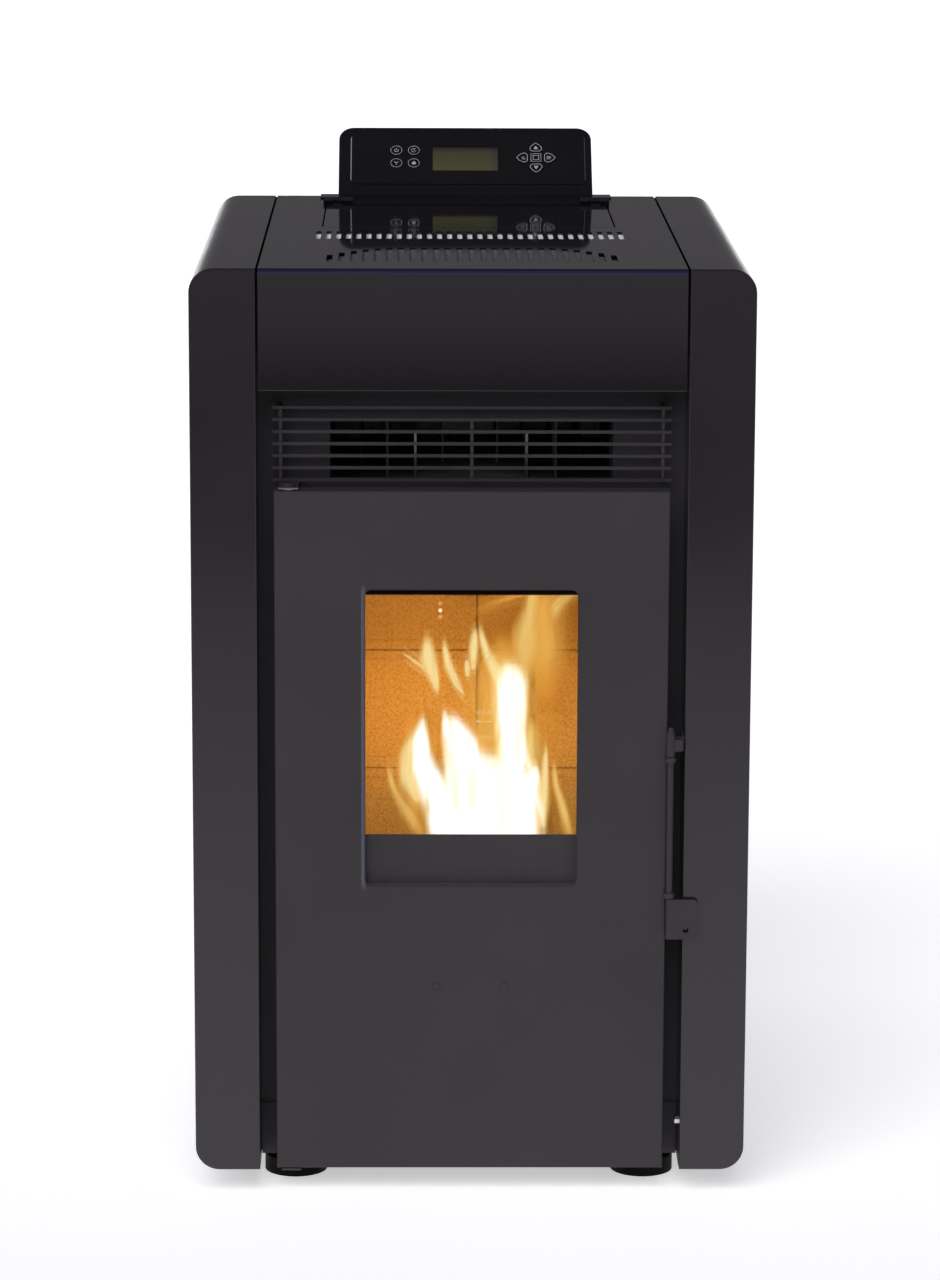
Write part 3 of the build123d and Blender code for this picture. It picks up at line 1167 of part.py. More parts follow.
def hinge_brackets():
    """Two tongues with welded pins, one over the door and one under it, and the upper one's washer."""
    x = (-HINGE_X - BRACKET_W / 2, BRACKET_W / 2 - HINGE_X)
    front = HINGE_Y - BRACKET_FRONT
    low = DOOR_H + HINGE_GAP_TOP
    upper = block(x, (front, FRAME_Y), (low, low + BRACKET_T))
    upper += round_z(-HINGE_X, HINGE_Y, (DOOR_H - PIN_UP, low), PIN_R)
    head = round_z(-HINGE_X, HINGE_Y, (low + BRACKET_T, low + BRACKET_T + PIN_HEAD_T), PIN_HEAD_R)
    upper += fillet(head.edges().group_by(Axis.Z)[-1], PIN_HEAD_T / 2)
    high = -TRAY_DROP
    lower = block(x, (front, TRAY_Y + BRACKET_UNDER), (high - BRACKET_T, high))
    lower += round_z(-HINGE_X, HINGE_Y, (high, PIN_UP), PIN_R)
    washer_z = (DOOR_H + NEAR, low)
    washer = round_z(-HINGE_X, HINGE_Y, washer_z, WASHER_R)
    washer -= round_z(-HINGE_X, HINGE_Y, washer_z, PIN_R + RUN)
    return [upper, lower, washer]


# ---------------------------------------------------------------- handle
def door_handle():
    """A rod with a hub and locking finger at the top, and a pull tab at the foot."""
    rod = round_z(ROD_X, ROD_Y, (TAB_LOW_Z, HUB_LOW_Z), ROD_R)
    hub = round_z(ROD_X, ROD_Y, (HUB_LOW_Z, HUB_HIGH_Z), HUB_R)
    tip = Pos(ROD_X, ROD_Y, HUB_HIGH_Z + FINIAL_H / 2) * Cone(HUB_R, FINIAL_R, FINIAL_H)
    finger_y = (ROD_Y - FINGER_T / 2, ROD_Y + FINGER_T / 2)
    finger_z = (HUB_LOW_Z + FINGER_UP, HUB_LOW_Z + FINGER_UP + FINGER_H)
    finger = block((ROD_X, ROD_X + FINGER_REACH), finger_y, finger_z)
    finger = fillet(finger.edges().group_by(Axis.X)[-1].filter_by(Axis.Y), FINGER_T / 2)
    outline = pane((ROD_X - TAB_IN, ROD_X + TAB_REACH), (TAB_LOW_Z, TAB_LOW_Z + TAB_H))
    outline = fillet(outline.vertices().group_by(Axis.X)[-1], TAB_R)
    hole = Pos(ROD_X + TAB_HOLE_X, TAB_LOW_Z + TAB_HOLE_Z) * Circle(TAB_HOLE_R)
    front = ROD_Y - TAB_FRONT
    tab = through_y(outline - hole, (front, front + TAB_T))
    return rod + hub + tip + finger + tab


def door_catch():
    """An angle on the casing wall; the locking finger rests before its plate."""
    low = HUB_LOW_Z + CATCH_UP
    z = (low, low + CATCH_H)
    front = ROD_Y + HUB_R + CATCH_BEHIND
    catch = block((IN_X - SHEET, IN_X), (front, front + CATCH_D), z)
    catch += block((IN_X - CATCH_REACH, IN_X), (front, front + SHEET), z)
    return catch


def casing_bolt():
    """A domed bolt on the inner face of the right casing."""
    bolt = round_x(BOLT_Y, BOLT_Z, (IN_X - BOLT_HEAD, IN_X), BOLT_R)
    return fillet(bolt.edges().group_by(Axis.X)[0], BOLT_ROUND)


# ---------------------------------------------------------------- control panel
def on_panel(outline, depth):
    """An outline on the leaning face (x, up), between two heights off that face."""
    return PANEL.location * extrude(Pos(0, 0, depth[0]) * outline, amount=depth[1] - depth[0])


def rounded_top():
    outline = pane((-PANEL_W / 2, PANEL_W / 2), (0, PANEL_L))
    return fillet(outline.vertices().group_by(Axis.Y)[-1], PANEL_R)


def fascia_outline(grow=0.0):
    half = FASCIA_W / 2 + grow
    up = (FASCIA_LOW - grow, FASCIA_LOW + FASCIA_L + grow)
    return pane((FASCIA_X - half, FASCIA_X + half), up, FASCIA_R)


def display_outline(grow=0.0):
    half = DISPLAY_W / 2 + grow
    return pane((-half, half), (DISPLAY_LOW - grow, DISPLAY_LOW + DISPLAY_L + grow))


def control_housing():
    housing = on_panel(rounded_top(), (-PANEL_T, 0))
    rim = housing.faces().sort_by(Axis(PANEL.origin, PANEL.z_dir))[-1]
    housing = fillet(rim.edges(), PANEL_EDGE_R)
    housing -= on_panel(fascia_outline(), (FASCIA_PROUD - FASCIA_T, 0))
    return housing - on_panel(fascia_outline(-FASCIA_R), (PANEL_FLOOR, 0))


def key_outlines():
    """Each key's outline, by name: four round ones and a five-way pad."""
    keys = {}
    names = iter(("power", "timer", "menu", "fan"))
    for up in ROUND_KEY_UP:
        for x in ROUND_KEY_IN:
            keys[next(names)] = Pos(x - FASCIA_W / 2, up) * Circle(ROUND_KEY_R - KEY_GAP)
    shoulder = (PAD_START + PAD_REACH) / 2
    petal = make_face(Polyline(
        (-PAD_FOOT_HALF, PAD_START), (PAD_FOOT_HALF, PAD_START), (PAD_HALF, shoulder),
        (PAD_TIP_HALF, PAD_REACH), (-PAD_TIP_HALF, PAD_REACH), (-PAD_HALF, shoulder), close=True))
    petal = fillet(petal.vertices(), PAD_ROUND)
    for name, turn in (("up", 0), ("left", 90), ("down", 180), ("right", 270)):
        keys[name] = Pos(PAD_X, PAD_UP) * Rot(0, 0, turn) * petal
    side = PAD_SQUARE / 2
    keys["centre"] = pane((PAD_X - side, PAD_X + side), (PAD_UP - side, PAD_UP + side), PAD_SQUARE_R)
    return keys


def control_fascia():
    depth = (FASCIA_PROUD - FASCIA_T, FASCIA_PROUD)
    plate = on_panel(fascia_outline(), depth)
    face = plate.faces().sort_by(Axis(PANEL.origin, PANEL.z_dir))[-1]
    plate = fillet(face.edges(), FASCIA_EDGE_R)
    holes = [display_outline(NEAR)] + [offset(outline, KEY_GAP) for outline in key_outlines().values()]
    return plate.cut(*[on_panel(hole, depth) for hole in holes])


def key_cap(outline):
    under = FASCIA_PROUD - FASCIA_T
    cap = on_panel(outline, (under - NEAR - KEY_FLANGE_T, FASCIA_PROUD + KEY_PROUD))
    return cap + on_panel(offset(outline, KEY_FLANGE), (under - NEAR - KEY_FLANGE_T, under - NEAR))


def control_display():
    return on_panel(display_outline(), (PANEL_FLOOR, FASCIA_PROUD - NEAR))


def control_bracket():
    """A strip on the casing top that carries the housing from below and behind."""
    strip_y = (BODY_D - FOOT_STRIP_D, BODY_D + PANEL_BEHIND)
    strip = centred(PANEL_W / 2 + FOOT_STRIP_OUT, strip_y, (CASING_H, CASING_H + PANEL_UP))
    half = PANEL_W / 2 - PANEL_R
    under = on_panel(pane((-half, half), (-THIN, 0)), (-PANEL_T - THIN, 0))
    back = on_panel(pane((-half, half), (-THIN, BRACKET_BACK_L)), (-PANEL_T - THIN, -PANEL_T))
    return strip + under + back


# ---------------------------------------------------------------- electrics
def power_inlet():
    """Socket plate with the pins of the mains inlet and the well of the rocker switch."""
    x, z = SOCKET_X, SOCKET_Z
    half_w, half_h = SOCKET_W / 2, SOCKET_H / 2
    face = BODY_D + SOCKET_RIM
    body = block((x - half_w, x + half_w), (BODY_D - SOCKET_IN, BODY_D), (z - half_h, z + half_h))
    wide, high = half_w + SOCKET_FLANGE, half_h + SOCKET_FLANGE
    body += through_y(pane((x - wide, x + wide), (z - high, z + high), SOCKET_R), (BODY_D, face))
    inlet = x + INLET_X
    floor = face - INLET_DEEP
    inlet_x = (inlet - INLET_W / 2, inlet + INLET_W / 2)
    body -= block(inlet_x, (floor, face), (z - INLET_H / 2, z + INLET_H / 2))
    thick, tall, long = PIN_BLADE
    for across, up in PIN_PLACES:
        pin = Pos(inlet + across, floor + long / 2, z + up) * Box(thick, long, tall)
        body += pin
    switch = x + ROCKER_X
    well_w, well_h = ROCKER_W / 2 + NEAR, ROCKER_H / 2 + ROCKER_WELL
    well_y = (BODY_D - SOCKET_IN + WELL_FLOOR, face)
    body -= block((switch - well_w, switch + well_w), well_y, (z - well_h, z + well_h))
    reach = well_w + ROCKER_PIVOT_L + NEAR
    return body - round_x(ROCKER_PIVOT_Y, z, (switch - reach, switch + reach), ROCKER_PIVOT_R + RUN)


def power_rocker():
    """A curved rocker on two stub pivots, at rest tipped to its off side."""
    half_w, half_h = ROCKER_W / 2, ROCKER_H / 2
    foot = ROCKER_FOOT_H / 2
    drop = ROCKER_T / 2
    profile = make_face(Polyline(
        (-drop, -foot), (drop, -half_h), (drop - ROCKER_DISH, 0), (drop, half_h), (-drop, foot), close=True))
    rocker = extrude(Plane.YZ.offset(-half_w) * profile, amount=2 * half_w)
    reach = half_w + NEAR + ROCKER_PIVOT_L
    rocker += round_x(0, 0, (-reach, reach), ROCKER_PIVOT_R)
    return Pos(SOCKET_X + ROCKER_X, ROCKER_PIVOT_Y, SOCKET_Z) * Rot(-ROCKER_TILT, 0, 0) * rocker


def control_board():
    """The circuit board on four standoffs, with its transformer, relays and terminal block."""
    back = REAR_Y - STANDOFF_L
    board = block(BOARD_X, (back - BOARD_T, back), BOARD_Z)
    for x in (BOARD_X[0] + STANDOFF_IN, BOARD_X[1] - STANDOFF_IN):
        for z in (BOARD_Z[0] + STANDOFF_IN, BOARD_Z[1] - STANDOFF_IN):
            board += round_y(x, z, (back, REAR_Y), STANDOFF_R)
    face = back - BOARD_T
    low_x, low_z = BOARD_X[0], BOARD_Z[0]
    for x, z, high in BOARD_PARTS:
        board += block((low_x + x[0], low_x + x[1]), (face - high, face), (low_z + z[0], low_z + z[1]))
    return board


def pressure_switch():
    y = (REAR_Y - SWITCH_T, REAR_Y)
    body = round_y(SWITCH_X, SWITCH_Z, y, SWITCH_R)
    body = fillet(body.edges().group_by(Axis.Y)[0], MOTOR_R)
    for z in (-SWITCH_PORT_Z, SWITCH_PORT_Z):
        body += round_y(SWITCH_X, SWITCH_Z + z, (y[0] - SWITCH_PORT_L, y[0]), SWITCH_PORT_R)
    return body


# ---------------------------------------------------------------- all nodes
def nodes():
    parts = {
        "base_tray": base_tray(),
        "levelling_feet": levelling_feet(),
        "side_casing_left": side_casing(-1),
        "side_casing_right": side_casing(1),
        "top_cover": top_cover(),
        "vent_baffles": vent_baffles(),
        "rear_panel": rear_panel(),
        "rear_screws": rear_screws(),
        "front_frame": front_frame(),
        "firebox_shell": firebox_shell(),
        "fire_bricks": fire_bricks(),
        "burn_pot": burn_pot(),
        "igniter": igniter(),
        "ash_pan": ash_pan(),
        "air_duct": air_duct(),
        "heat_exchanger": heat_exchanger(),
        "room_fan_housing": room_fan_housing(),
        "room_fan_rotor": room_fan_rotor(),
        "room_fan_motor": room_fan_motor(),
        "outlet_grille": outlet_grille(),
        "hopper": hopper(),
        "hopper_lid": hopper_lid(),
        "lid_hinges": lid_hinges(),
        "auger_tube": auger_tube(),
        "pellet_chute": pellet_chute(),
        "auger_screw": auger_screw(),
        "auger_motor": auger_motor(),
        "smoke_fan_housing": smoke_fan_housing(),
        "flue_spigot": flue_spigot(),
        "smoke_impeller": smoke_impeller(),
        "smoke_fan_motor": smoke_fan_motor(),
        "air_inlet_pipe": air_inlet_pipe(),
        "door_panel": door_panel(),
        "door_frame": door_frame(),
        "door_glass": door_glass(),
        "door_seals": door_seals(),
        "ash_guard": ash_guard(),
        "glass_clamps": glass_clamps(),
        "door_rivets": door_rivets(),
        "hinge_brackets": hinge_brackets(),
        "door_handle": door_handle(),
        "door_catch": door_catch(),
        "casing_bolt": casing_bolt(),
        "control_housing": control_housing(),
        "control_fascia": control_fascia(),
        "control_display": control_display(),
        "control_bracket": control_bracket(),
        "power_inlet": power_inlet(),
        "power_rocker": power_rocker(),
        "control_board": control_board(),
        "pressure_switch": pressure_switch(),
    }
    for name, outline in key_outlines().items():
        parts["key_" + name] = key_cap(outline)
    return parts


os.makedirs("parts", exist_ok=True)
for name, shape in nodes().items():
    if isinstance(shape, list):
        shape = Compound(children=shape)
    export_step(PLACE * shape, "parts/" + name + ".step")
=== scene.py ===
import json
import math
import random

import bmesh
import bpy
from mathutils import Matrix, Vector, noise


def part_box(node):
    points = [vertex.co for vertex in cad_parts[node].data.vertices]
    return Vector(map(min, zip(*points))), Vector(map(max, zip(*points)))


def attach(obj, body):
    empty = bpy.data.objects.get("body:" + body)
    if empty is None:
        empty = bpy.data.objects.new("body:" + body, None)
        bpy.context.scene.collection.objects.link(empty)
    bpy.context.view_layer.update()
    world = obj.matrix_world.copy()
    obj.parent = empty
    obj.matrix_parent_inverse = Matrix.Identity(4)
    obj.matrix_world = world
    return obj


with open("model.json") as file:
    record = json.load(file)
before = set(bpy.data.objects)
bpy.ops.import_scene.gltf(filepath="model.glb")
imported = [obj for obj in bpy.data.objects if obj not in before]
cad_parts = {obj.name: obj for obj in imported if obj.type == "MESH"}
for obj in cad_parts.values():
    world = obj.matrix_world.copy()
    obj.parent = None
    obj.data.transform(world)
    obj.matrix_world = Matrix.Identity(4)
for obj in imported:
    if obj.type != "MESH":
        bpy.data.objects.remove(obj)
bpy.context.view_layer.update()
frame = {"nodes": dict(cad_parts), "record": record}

# ---------------------------------------------------------------- sizes, in mm, from the CAD source
FRONT_Y = -317.25          # casing front in the frame
FOOT_CLEAR = 20.5          # casing bottom in the frame
CASING_H = 760.0
APRON_H = 100.0            # the cover's front, below its fold
BODY_D = 560.0             # casing depth
PANEL_BEHIND = 1.2         # the control panel's foot behind the casing
PANEL_UP = 1.5             # the same above the cover
LEAN = math.radians(47.0)  # the panel's lean from upright
KEY_TOP = 1.5              # key faces above the panel's leaning face
ROUND_KEYS = {"key_power": (-64.4, 52.7), "key_timer": (-48.1, 52.7),
              "key_menu": (-64.4, 37.0), "key_fan": (-48.1, 37.0)}
PAD_X, PAD_UP = 65.9, 44.0         # middle of the five-way pad, across and up the panel
POT_Y = 190.0              # middle of the burn pot
POT_FLOOR = 197.3          # inside the burn pot
POT_HALF = 40.0            # half of the pot's width
JOINT_X, JOINT_END = 8.4, 308.5    # the back brick's upright joint and its lower end
JOINT_Z = (386.8, 279.7)           # its level joints
DARKEN_Z = (370.0, 400.0)           # where the bricks start to turn darker upwards, and where they are darkest
PLATE_Y = (150.0, 270.0)           # the stretch of the vents' plate over which its painted shade changes, in depth
BORDER_Z = 489.8                   # foot of the black border on the glass
WASHER_Z = 577.9                   # middle of the upper hinge pin's washer
RIM_X, RIM_Z = -89.0, (245.5, 494.5)    # the window's left rolled edge, and its foot and top
FIRE_Z, OUTLET_Z = 330.0, 606.0    # middle of the fire and of the warm-air outlet

# ---------------------------------------------------------------- sizes, in m
JOINT_HALF = 0.0012                # half of a joint's darkened width
WASHER_HALF = 0.0012               # half of the washer's bright band
FASCIA_HIGHLIGHT = 0.0011                # the width of the painted highlight on the fascia's bevelled rim
WINDOW_HIGHLIGHT = 0.0022                # the same of the painted highlight on the window's rolled edge
FLOOR_FRONT, FLOOR_REACH = 3.3, 60.0    # the floor's reach to the front, and the other three ways

# ---------------------------------------------------------------- the photograph's camera
PHOTO_W, PHOTO_H = 940.0, 1280.0
FOCAL = 4528.17            # in pixels of the photograph
CAM = (-46.8, -3638.1, 1202.0)     # in the casing frame, mm
PITCH, YAW, ROLL = 0.20264, 0.01248, 0.00365
SENSOR = 36.0


def at(x, depth, z):
    """A point of the casing frame (mm) in the frame (m)."""
    return Vector((x, depth + FRONT_Y, z + FOOT_CLEAR)) / 1000


def camera_axes():
    forward = Vector((math.sin(YAW) * math.cos(PITCH), math.cos(YAW) * math.cos(PITCH), -math.sin(PITCH)))
    right = Vector((math.cos(YAW), -math.sin(YAW), 0))
    up = right.cross(forward)
    cos, sin = math.cos(ROLL), math.sin(ROLL)
    return forward, right * cos + up * sin, up * cos - right * sin


FORWARD, RIGHT, UP = camera_axes()


def sight(px, py, depth):
    """The point (casing frame, mm) that a pixel of the photograph shows at a depth."""
    ray = FORWARD + RIGHT * (px - PHOTO_W / 2) / FOCAL - UP * (py - PHOTO_H / 2) / FOCAL
    reach = (depth - CAM[1]) / ray.y
    return Vector(CAM) + ray * reach


def add_camera():
    data = bpy.data.cameras.new("photo_camera")
    data.sensor_width = SENSOR
    data.lens = FOCAL / PHOTO_H * SENSOR
    data.clip_start, data.clip_end = 0.05, 200
    camera = bpy.data.objects.new("photo_camera", data)
    bpy.context.scene.collection.objects.link(camera)
    turn = Matrix((RIGHT, UP, -FORWARD)).transposed().to_4x4()
    camera.matrix_world = Matrix.Translation(at(*CAM)) @ turn
    bpy.context.scene.camera = camera


# ---------------------------------------------------------------- node helpers
def node(tree, kind, inputs=None, **settings):
    made = tree.nodes.new("ShaderNode" + kind)
    for key, value in settings.items():
        setattr(made, key, value)
    for key, value in (inputs or {}).items():
        if isinstance(value, bpy.types.NodeSocket):
            tree.links.new(value, made.inputs[key])
        else:
            made.inputs[key].default_value = value
    return made


def coords(tree, stretch=(1, 1, 1)):
    spot = node(tree, "TexCoord").outputs["Object"]
    return node(tree, "Mapping", {"Vector": spot, "Scale": stretch}).outputs["Vector"]


def grain(tree, scale, detail=3.0, stretch=(1, 1, 1), warp=0.0):
    inputs = {"Vector": coords(tree, stretch), "Scale": scale, "Detail": detail, "Distortion": warp}
    return node(tree, "TexNoise", inputs).outputs["Fac"]


def cells(tree, scale, output="Distance"):
    return node(tree, "TexVoronoi", {"Vector": coords(tree), "Scale": scale}).outputs[output]


def along(tree, axis):
    """How far a point lies along an axis of the frame, in m."""
    return node(tree, "SeparateXYZ", {"Vector": coords(tree)}).outputs[axis]


def grey(tone):
    return (tone, tone, tone)


def ramp(tree, factor, *stops):
    """A colour ramp; each stop is (place, colour)."""
    made = node(tree, "ValToRGB", {"Fac": factor})
    points = made.color_ramp.elements
    while len(points) < len(stops):
        points.new(0.5)
    for point, (place, colour) in zip(points, stops):
        point.position = place
        point.color = (*colour[:3], 1)
    return made.outputs["Color"]


def spread(tree, value, low, high, start=0.25, end=0.75):
    inputs = {"Value": value, "From Min": start, "From Max": end, "To Min": low, "To Max": high}
    return node(tree, "MapRange", inputs).outputs["Result"]


def math_node(tree, operation, a, b=0.0):
    made = node(tree, "Math", operation=operation)
    for socket, value in zip(made.inputs, (a, b)):
        if isinstance(value, bpy.types.NodeSocket):
            tree.links.new(value, socket)
        else:
            socket.default_value = value
    return made.outputs["Value"]


def scaled(tree, value, factor):
    return math_node(tree, "MULTIPLY", value, factor)


def mix(tree, factor, first, second, blend="MIX"):
    """first (a socket) turning into second as factor goes from 0 to 1."""
    sides = {"Factor": factor, "A": first, "B": second}
    return node(tree, "Mix", sides, data_type="RGBA", blend_type=blend).outputs[2]


def line_at(tree, value, place, half):
    """1 within half of a place, 0 outside, with a soft edge."""
    off = math_node(tree, "ABSOLUTE", math_node(tree, "SUBTRACT", value, place))
    return spread(tree, off, 1.0, 0.0, half * 0.5, half)


def bump(tree, shader, height, depth):
    made = node(tree, "Bump", {"Height": height, "Distance": depth, "Strength": 1.0})
    tree.links.new(made.outputs["Normal"], shader.inputs["Normal"])


def new_material(name):
    material = bpy.data.materials.new(name)
    material.use_nodes = True
    return material, material.node_tree, material.node_tree.nodes["Principled BSDF"]


def finish(name, dark, light, patch=14.0, rough=(0.4, 0.5), rough_scale=25.0, bump_scale=900.0,
           bump_depth=0.00003, stretch=(1, 1, 1), bump_detail=3.0, **sockets):
    """A surface whose colour and roughness drift, with a fine relief; sockets are shader constants."""
    material, tree, shader = new_material(name)
    colour = ramp(tree, grain(tree, patch, 4.0), (0.3, dark), (0.7, light))
    tree.links.new(colour, shader.inputs["Base Color"])
    tree.links.new(spread(tree, grain(tree, rough_scale, 3.0, stretch), *rough), shader.inputs["Roughness"])
    bump(tree, shader, grain(tree, bump_scale, bump_detail, stretch), bump_depth)
    for key, value in sockets.items():
        shader.inputs[key.replace("_", " ").title().replace("Ior", "IOR")].default_value = value
    return material


def painted(material):
    """A finished material's tree, shader and base colour, to paint over."""
    tree = material.node_tree
    shader = tree.nodes["Principled BSDF"]
    return tree, shader, shader.inputs["Base Color"].links[0].from_socket


# ---------------------------------------------------------------- materials
def galvanised():
    """Zinc spangles: flat crystals, each with its own tone and gloss."""
    material, tree, shader = new_material("galvanised")
    crystal = cells(tree, 90.0, "Color")
    tone = node(tree, "SeparateColor", {"Color": crystal})
    tree.links.new(ramp(tree, tone.outputs[0], (0.1, (0.50, 0.51, 0.53)), (0.9, (0.68, 0.69, 0.70))),
                   shader.inputs["Base Color"])
    tree.links.new(spread(tree, tone.outputs[1], 0.32, 0.52, 0, 1), shader.inputs["Roughness"])
    shader.inputs["Metallic"].default_value = 0.9
    bump(tree, shader, cells(tree, 90.0), 0.00004)
    return material


def baffle_plate():
    """Bright plate under the slots, with painted shade: darker under the front row and past the rear row's
    far end.
    """
    material, tree, shader = new_material("baffle_plate")
    wavering_place = math_node(tree, "ADD", along(tree, "Y"), scaled(tree, grain(tree, 60.0), 0.004))
    place = spread(tree, wavering_place, 0, 1, *(at(0, depth, 0).y for depth in PLATE_Y))
    bright = (0.88, 0.89, 0.90)
    # painted shade: dark under the front row, bright under the rear row, dark again past its far end
    tone = ramp(tree, place, (0.12, (0.105, 0.10, 0.105)), (0.29, bright), (0.93, bright),
                (0.97, grey(0.05)))
    tree.links.new(tone, shader.inputs["Base Color"])
    tree.links.new(spread(tree, grain(tree, 40.0), 0.5, 0.7), shader.inputs["Roughness"])
    bump(tree, shader, cells(tree, 120.0), 0.00003)
    return material


def firebrick():
    """Pressed vermiculite board: golden flakes, dark joints between its courses, and darker towards the top.
    """
    material, tree, shader = new_material("firebrick")
    flakes = math_node(tree, "ADD", cells(tree, 420.0), scaled(tree, grain(tree, 900.0, 5.0), 0.8))
    board = ramp(tree, flakes, (0.35, (0.24, 0.135, 0.032)), (0.7, (0.47, 0.29, 0.066)),
                 (1.0, (0.60, 0.40, 0.11)))
    wander = scaled(tree, math_node(tree, "SUBTRACT", grain(tree, 220.0), 0.5), 0.002)
    height = math_node(tree, "ADD", along(tree, "Z"), wander)
    across = math_node(tree, "ADD", along(tree, "X"), wander)
    level = math_node(tree, "MAXIMUM", *(line_at(tree, height, at(0, 0, z).z, JOINT_HALF) for z in JOINT_Z))
    upper = spread(tree, height, 0.0, 1.0, at(0, 0, JOINT_END).z, at(0, 0, JOINT_END + 4).z)
    upright = scaled(tree, line_at(tree, across, at(JOINT_X, 0, 0).x, JOINT_HALF), upper)
    joints = scaled(tree, math_node(tree, "MAXIMUM", level, upright), 0.8)
    # darker towards the top
    darkening = spread(tree, height, 0.0, 0.24, *(at(0, 0, z).z for z in DARKEN_Z))
    joints_and_darkening = math_node(tree, "MAXIMUM", joints, darkening)
    tree.links.new(mix(tree, joints_and_darkening, board, (0.05, 0.022, 0.008, 1)), shader.inputs["Base Color"])
    tree.links.new(spread(tree, grain(tree, 300.0), 0.8, 0.95), shader.inputs["Roughness"])
    bump(tree, shader, flakes, 0.0004)
    return material


def brushed(name, dark, light, stretch, rough=(0.22, 0.4)):
    """Drawn or turned metal: fine scratches along one direction."""
    return finish(name, dark, light, 40.0, rough, 500.0, 700.0, 0.00002, stretch, metallic=1.0)


def braid():
    """Knitted glass-fibre rope: two crossing sets of strands."""
    material, tree, shader = new_material("rope")
    waves = []
    for way in (1, -1):
        inputs = {"Vector": coords(tree, (way, 0.6, 1)), "Scale": 260.0, "Distortion": 1.5}
        waves.append(node(tree, "TexWave", inputs, bands_direction="DIAGONAL").outputs["Fac"])
    strands = math_node(tree, "MAXIMUM", *waves)
    tree.links.new(ramp(tree, strands, (0.2, (0.12, 0.12, 0.11)), (0.9, (0.46, 0.45, 0.42))),
                   shader.inputs["Base Color"])
    tree.links.new(spread(tree, grain(tree, 300.0), 0.8, 0.95), shader.inputs["Roughness"])
    shader.inputs["Sheen Weight"].default_value = 0.3
    bump(tree, shader, strands, 0.0006)
    return material


def clear_glass():
    """Clear ceramic glass with a black border along its top; light passes it to the pieces behind."""
    material, tree, shader = new_material("glass")
    tint = ramp(tree, grain(tree, 8.0), (0.3, (0.95, 0.94, 0.97)), (0.7, (0.99, 0.98, 1.0)))
    foot = at(0, 0, BORDER_Z).z
    border = spread(tree, along(tree, "Z"), 0.0, 1.0, foot - 0.0004, foot + 0.0004)
    tree.links.new(mix(tree, border, tint, (0.002, 0.002, 0.002, 1)), shader.inputs["Base Color"])
    tree.links.new(spread(tree, border, 0.25, 1.0, 0.0, 1.0), shader.inputs["Alpha"])
    tree.links.new(spread(tree, grain(tree, 20.0, 5.0), 0.0, 0.03), shader.inputs["Roughness"])
    shader.inputs["IOR"].default_value = 1.15
    shader.inputs["Transmission Weight"].default_value = 1.0
    return material


def fascia_film():
    """Gloss film with painted highlights along its bevelled rim, brightest at its left end."""
    material = finish("fascia_black", (0.0045, 0.0043, 0.0048), (0.0060, 0.0056, 0.0062), 20.0,
                      (0.14, 0.20), 50.0, 900.0, 0.000005)
    tree, shader, shade = painted(material)
    low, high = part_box("control_fascia")
    # painted highlights on the bevelled rim: strongest at the left end, faint at the right end and the foot
    for axis, place, tone in (("X", low[0], 0.26), ("X", high[0], 0.05), ("Z", low[2], 0.03)):
        rim = line_at(tree, along(tree, axis), place, FASCIA_HIGHLIGHT)
        shade = mix(tree, rim, shade, (tone, tone, tone * 1.04, 1))
    tree.links.new(shade, shader.inputs["Base Color"])
    return material


def door_paint():
    """Matte heat-proof paint, with a painted bluish highlight along the left rolled edge of the window."""
    material = finish("door_paint", (0.0310, 0.0277, 0.0308), (0.0350, 0.0314, 0.0348), 7.0, (0.58, 0.66),
                      20.0, 1500.0, 0.000020, specular_tint=VIOLET, specular_ior_level=0.25)
    tree, shader, paint = painted(material)
    # painted bluish highlight along the window's left rolled edge, fading out at its foot and top
    side = line_at(tree, along(tree, "X"), RIM_X / 1000, WINDOW_HIGHLIGHT)
    foot, top = (at(0, 0, z).z for z in RIM_Z)
    low = spread(tree, along(tree, "Z"), 0.0, 1.0, foot - 0.006, foot + 0.004)
    high = spread(tree, along(tree, "Z"), 1.0, 0.0, top - 0.004, top + 0.006)
    rim = scaled(tree, side, scaled(tree, low, high))
    tree.links.new(mix(tree, rim, paint, (0.080, 0.081, 0.108, 1)), shader.inputs["Base Color"])
    return material


def display_face():
    """Unlit olive liquid-crystal field: cell grid, green sheen, darker rims at the top and right."""
    material, tree, shader = new_material("display")
    low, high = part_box("control_display")
    rise = spread(tree, along(tree, "Z"), 0, 1, low[2], high[2])
    across = spread(tree, along(tree, "X"), 0, 1, low[0], high[0])
    field = ramp(tree, rise, (0.10, (0.068, 0.064, 0.030)), (0.80, (0.050, 0.047, 0.024)),
                 (0.97, (0.024, 0.022, 0.020)))
    side = ramp(tree, across, (0.05, grey(1.0)), (0.86, grey(1.0)), (0.98, (0.75, 0.72, 1.1)))
    tree.links.new(mix(tree, 1.0, field, side, "MULTIPLY"), shader.inputs["Base Color"])
    grid = node(tree, "TexChecker", {"Vector": coords(tree), "Scale": 1400.0}).outputs["Fac"]
    tree.links.new(spread(tree, grain(tree, 60.0), 0.12, 0.2), shader.inputs["Roughness"])
    shader.inputs["Sheen Weight"].default_value = 1.0
    shader.inputs["Sheen Roughness"].default_value = 0.25
    shader.inputs["Sheen Tint"].default_value = (0.05, 1.0, 0.1, 1)
    bump(tree, shader, grid, 0.00001)
    return material


def circuit_board():
    """Green board with lighter copper tracks."""
    material, tree, shader = new_material("board_green")
    tracks = node(tree, "TexBrick", {
        "Vector": coords(tree), "Scale": 90.0, "Mortar Size": 0.06, "Color1": (0.012, 0.10, 0.035, 1),
        "Color2": (0.016, 0.13, 0.045, 1), "Mortar": (0.05, 0.26, 0.09, 1)})
    tree.links.new(tracks.outputs["Color"], shader.inputs["Base Color"])
    tree.links.new(spread(tree, grain(tree, 50.0), 0.3, 0.45), shader.inputs["Roughness"])
    bump(tree, shader, tracks.outputs["Fac"], 0.00005)
    return material


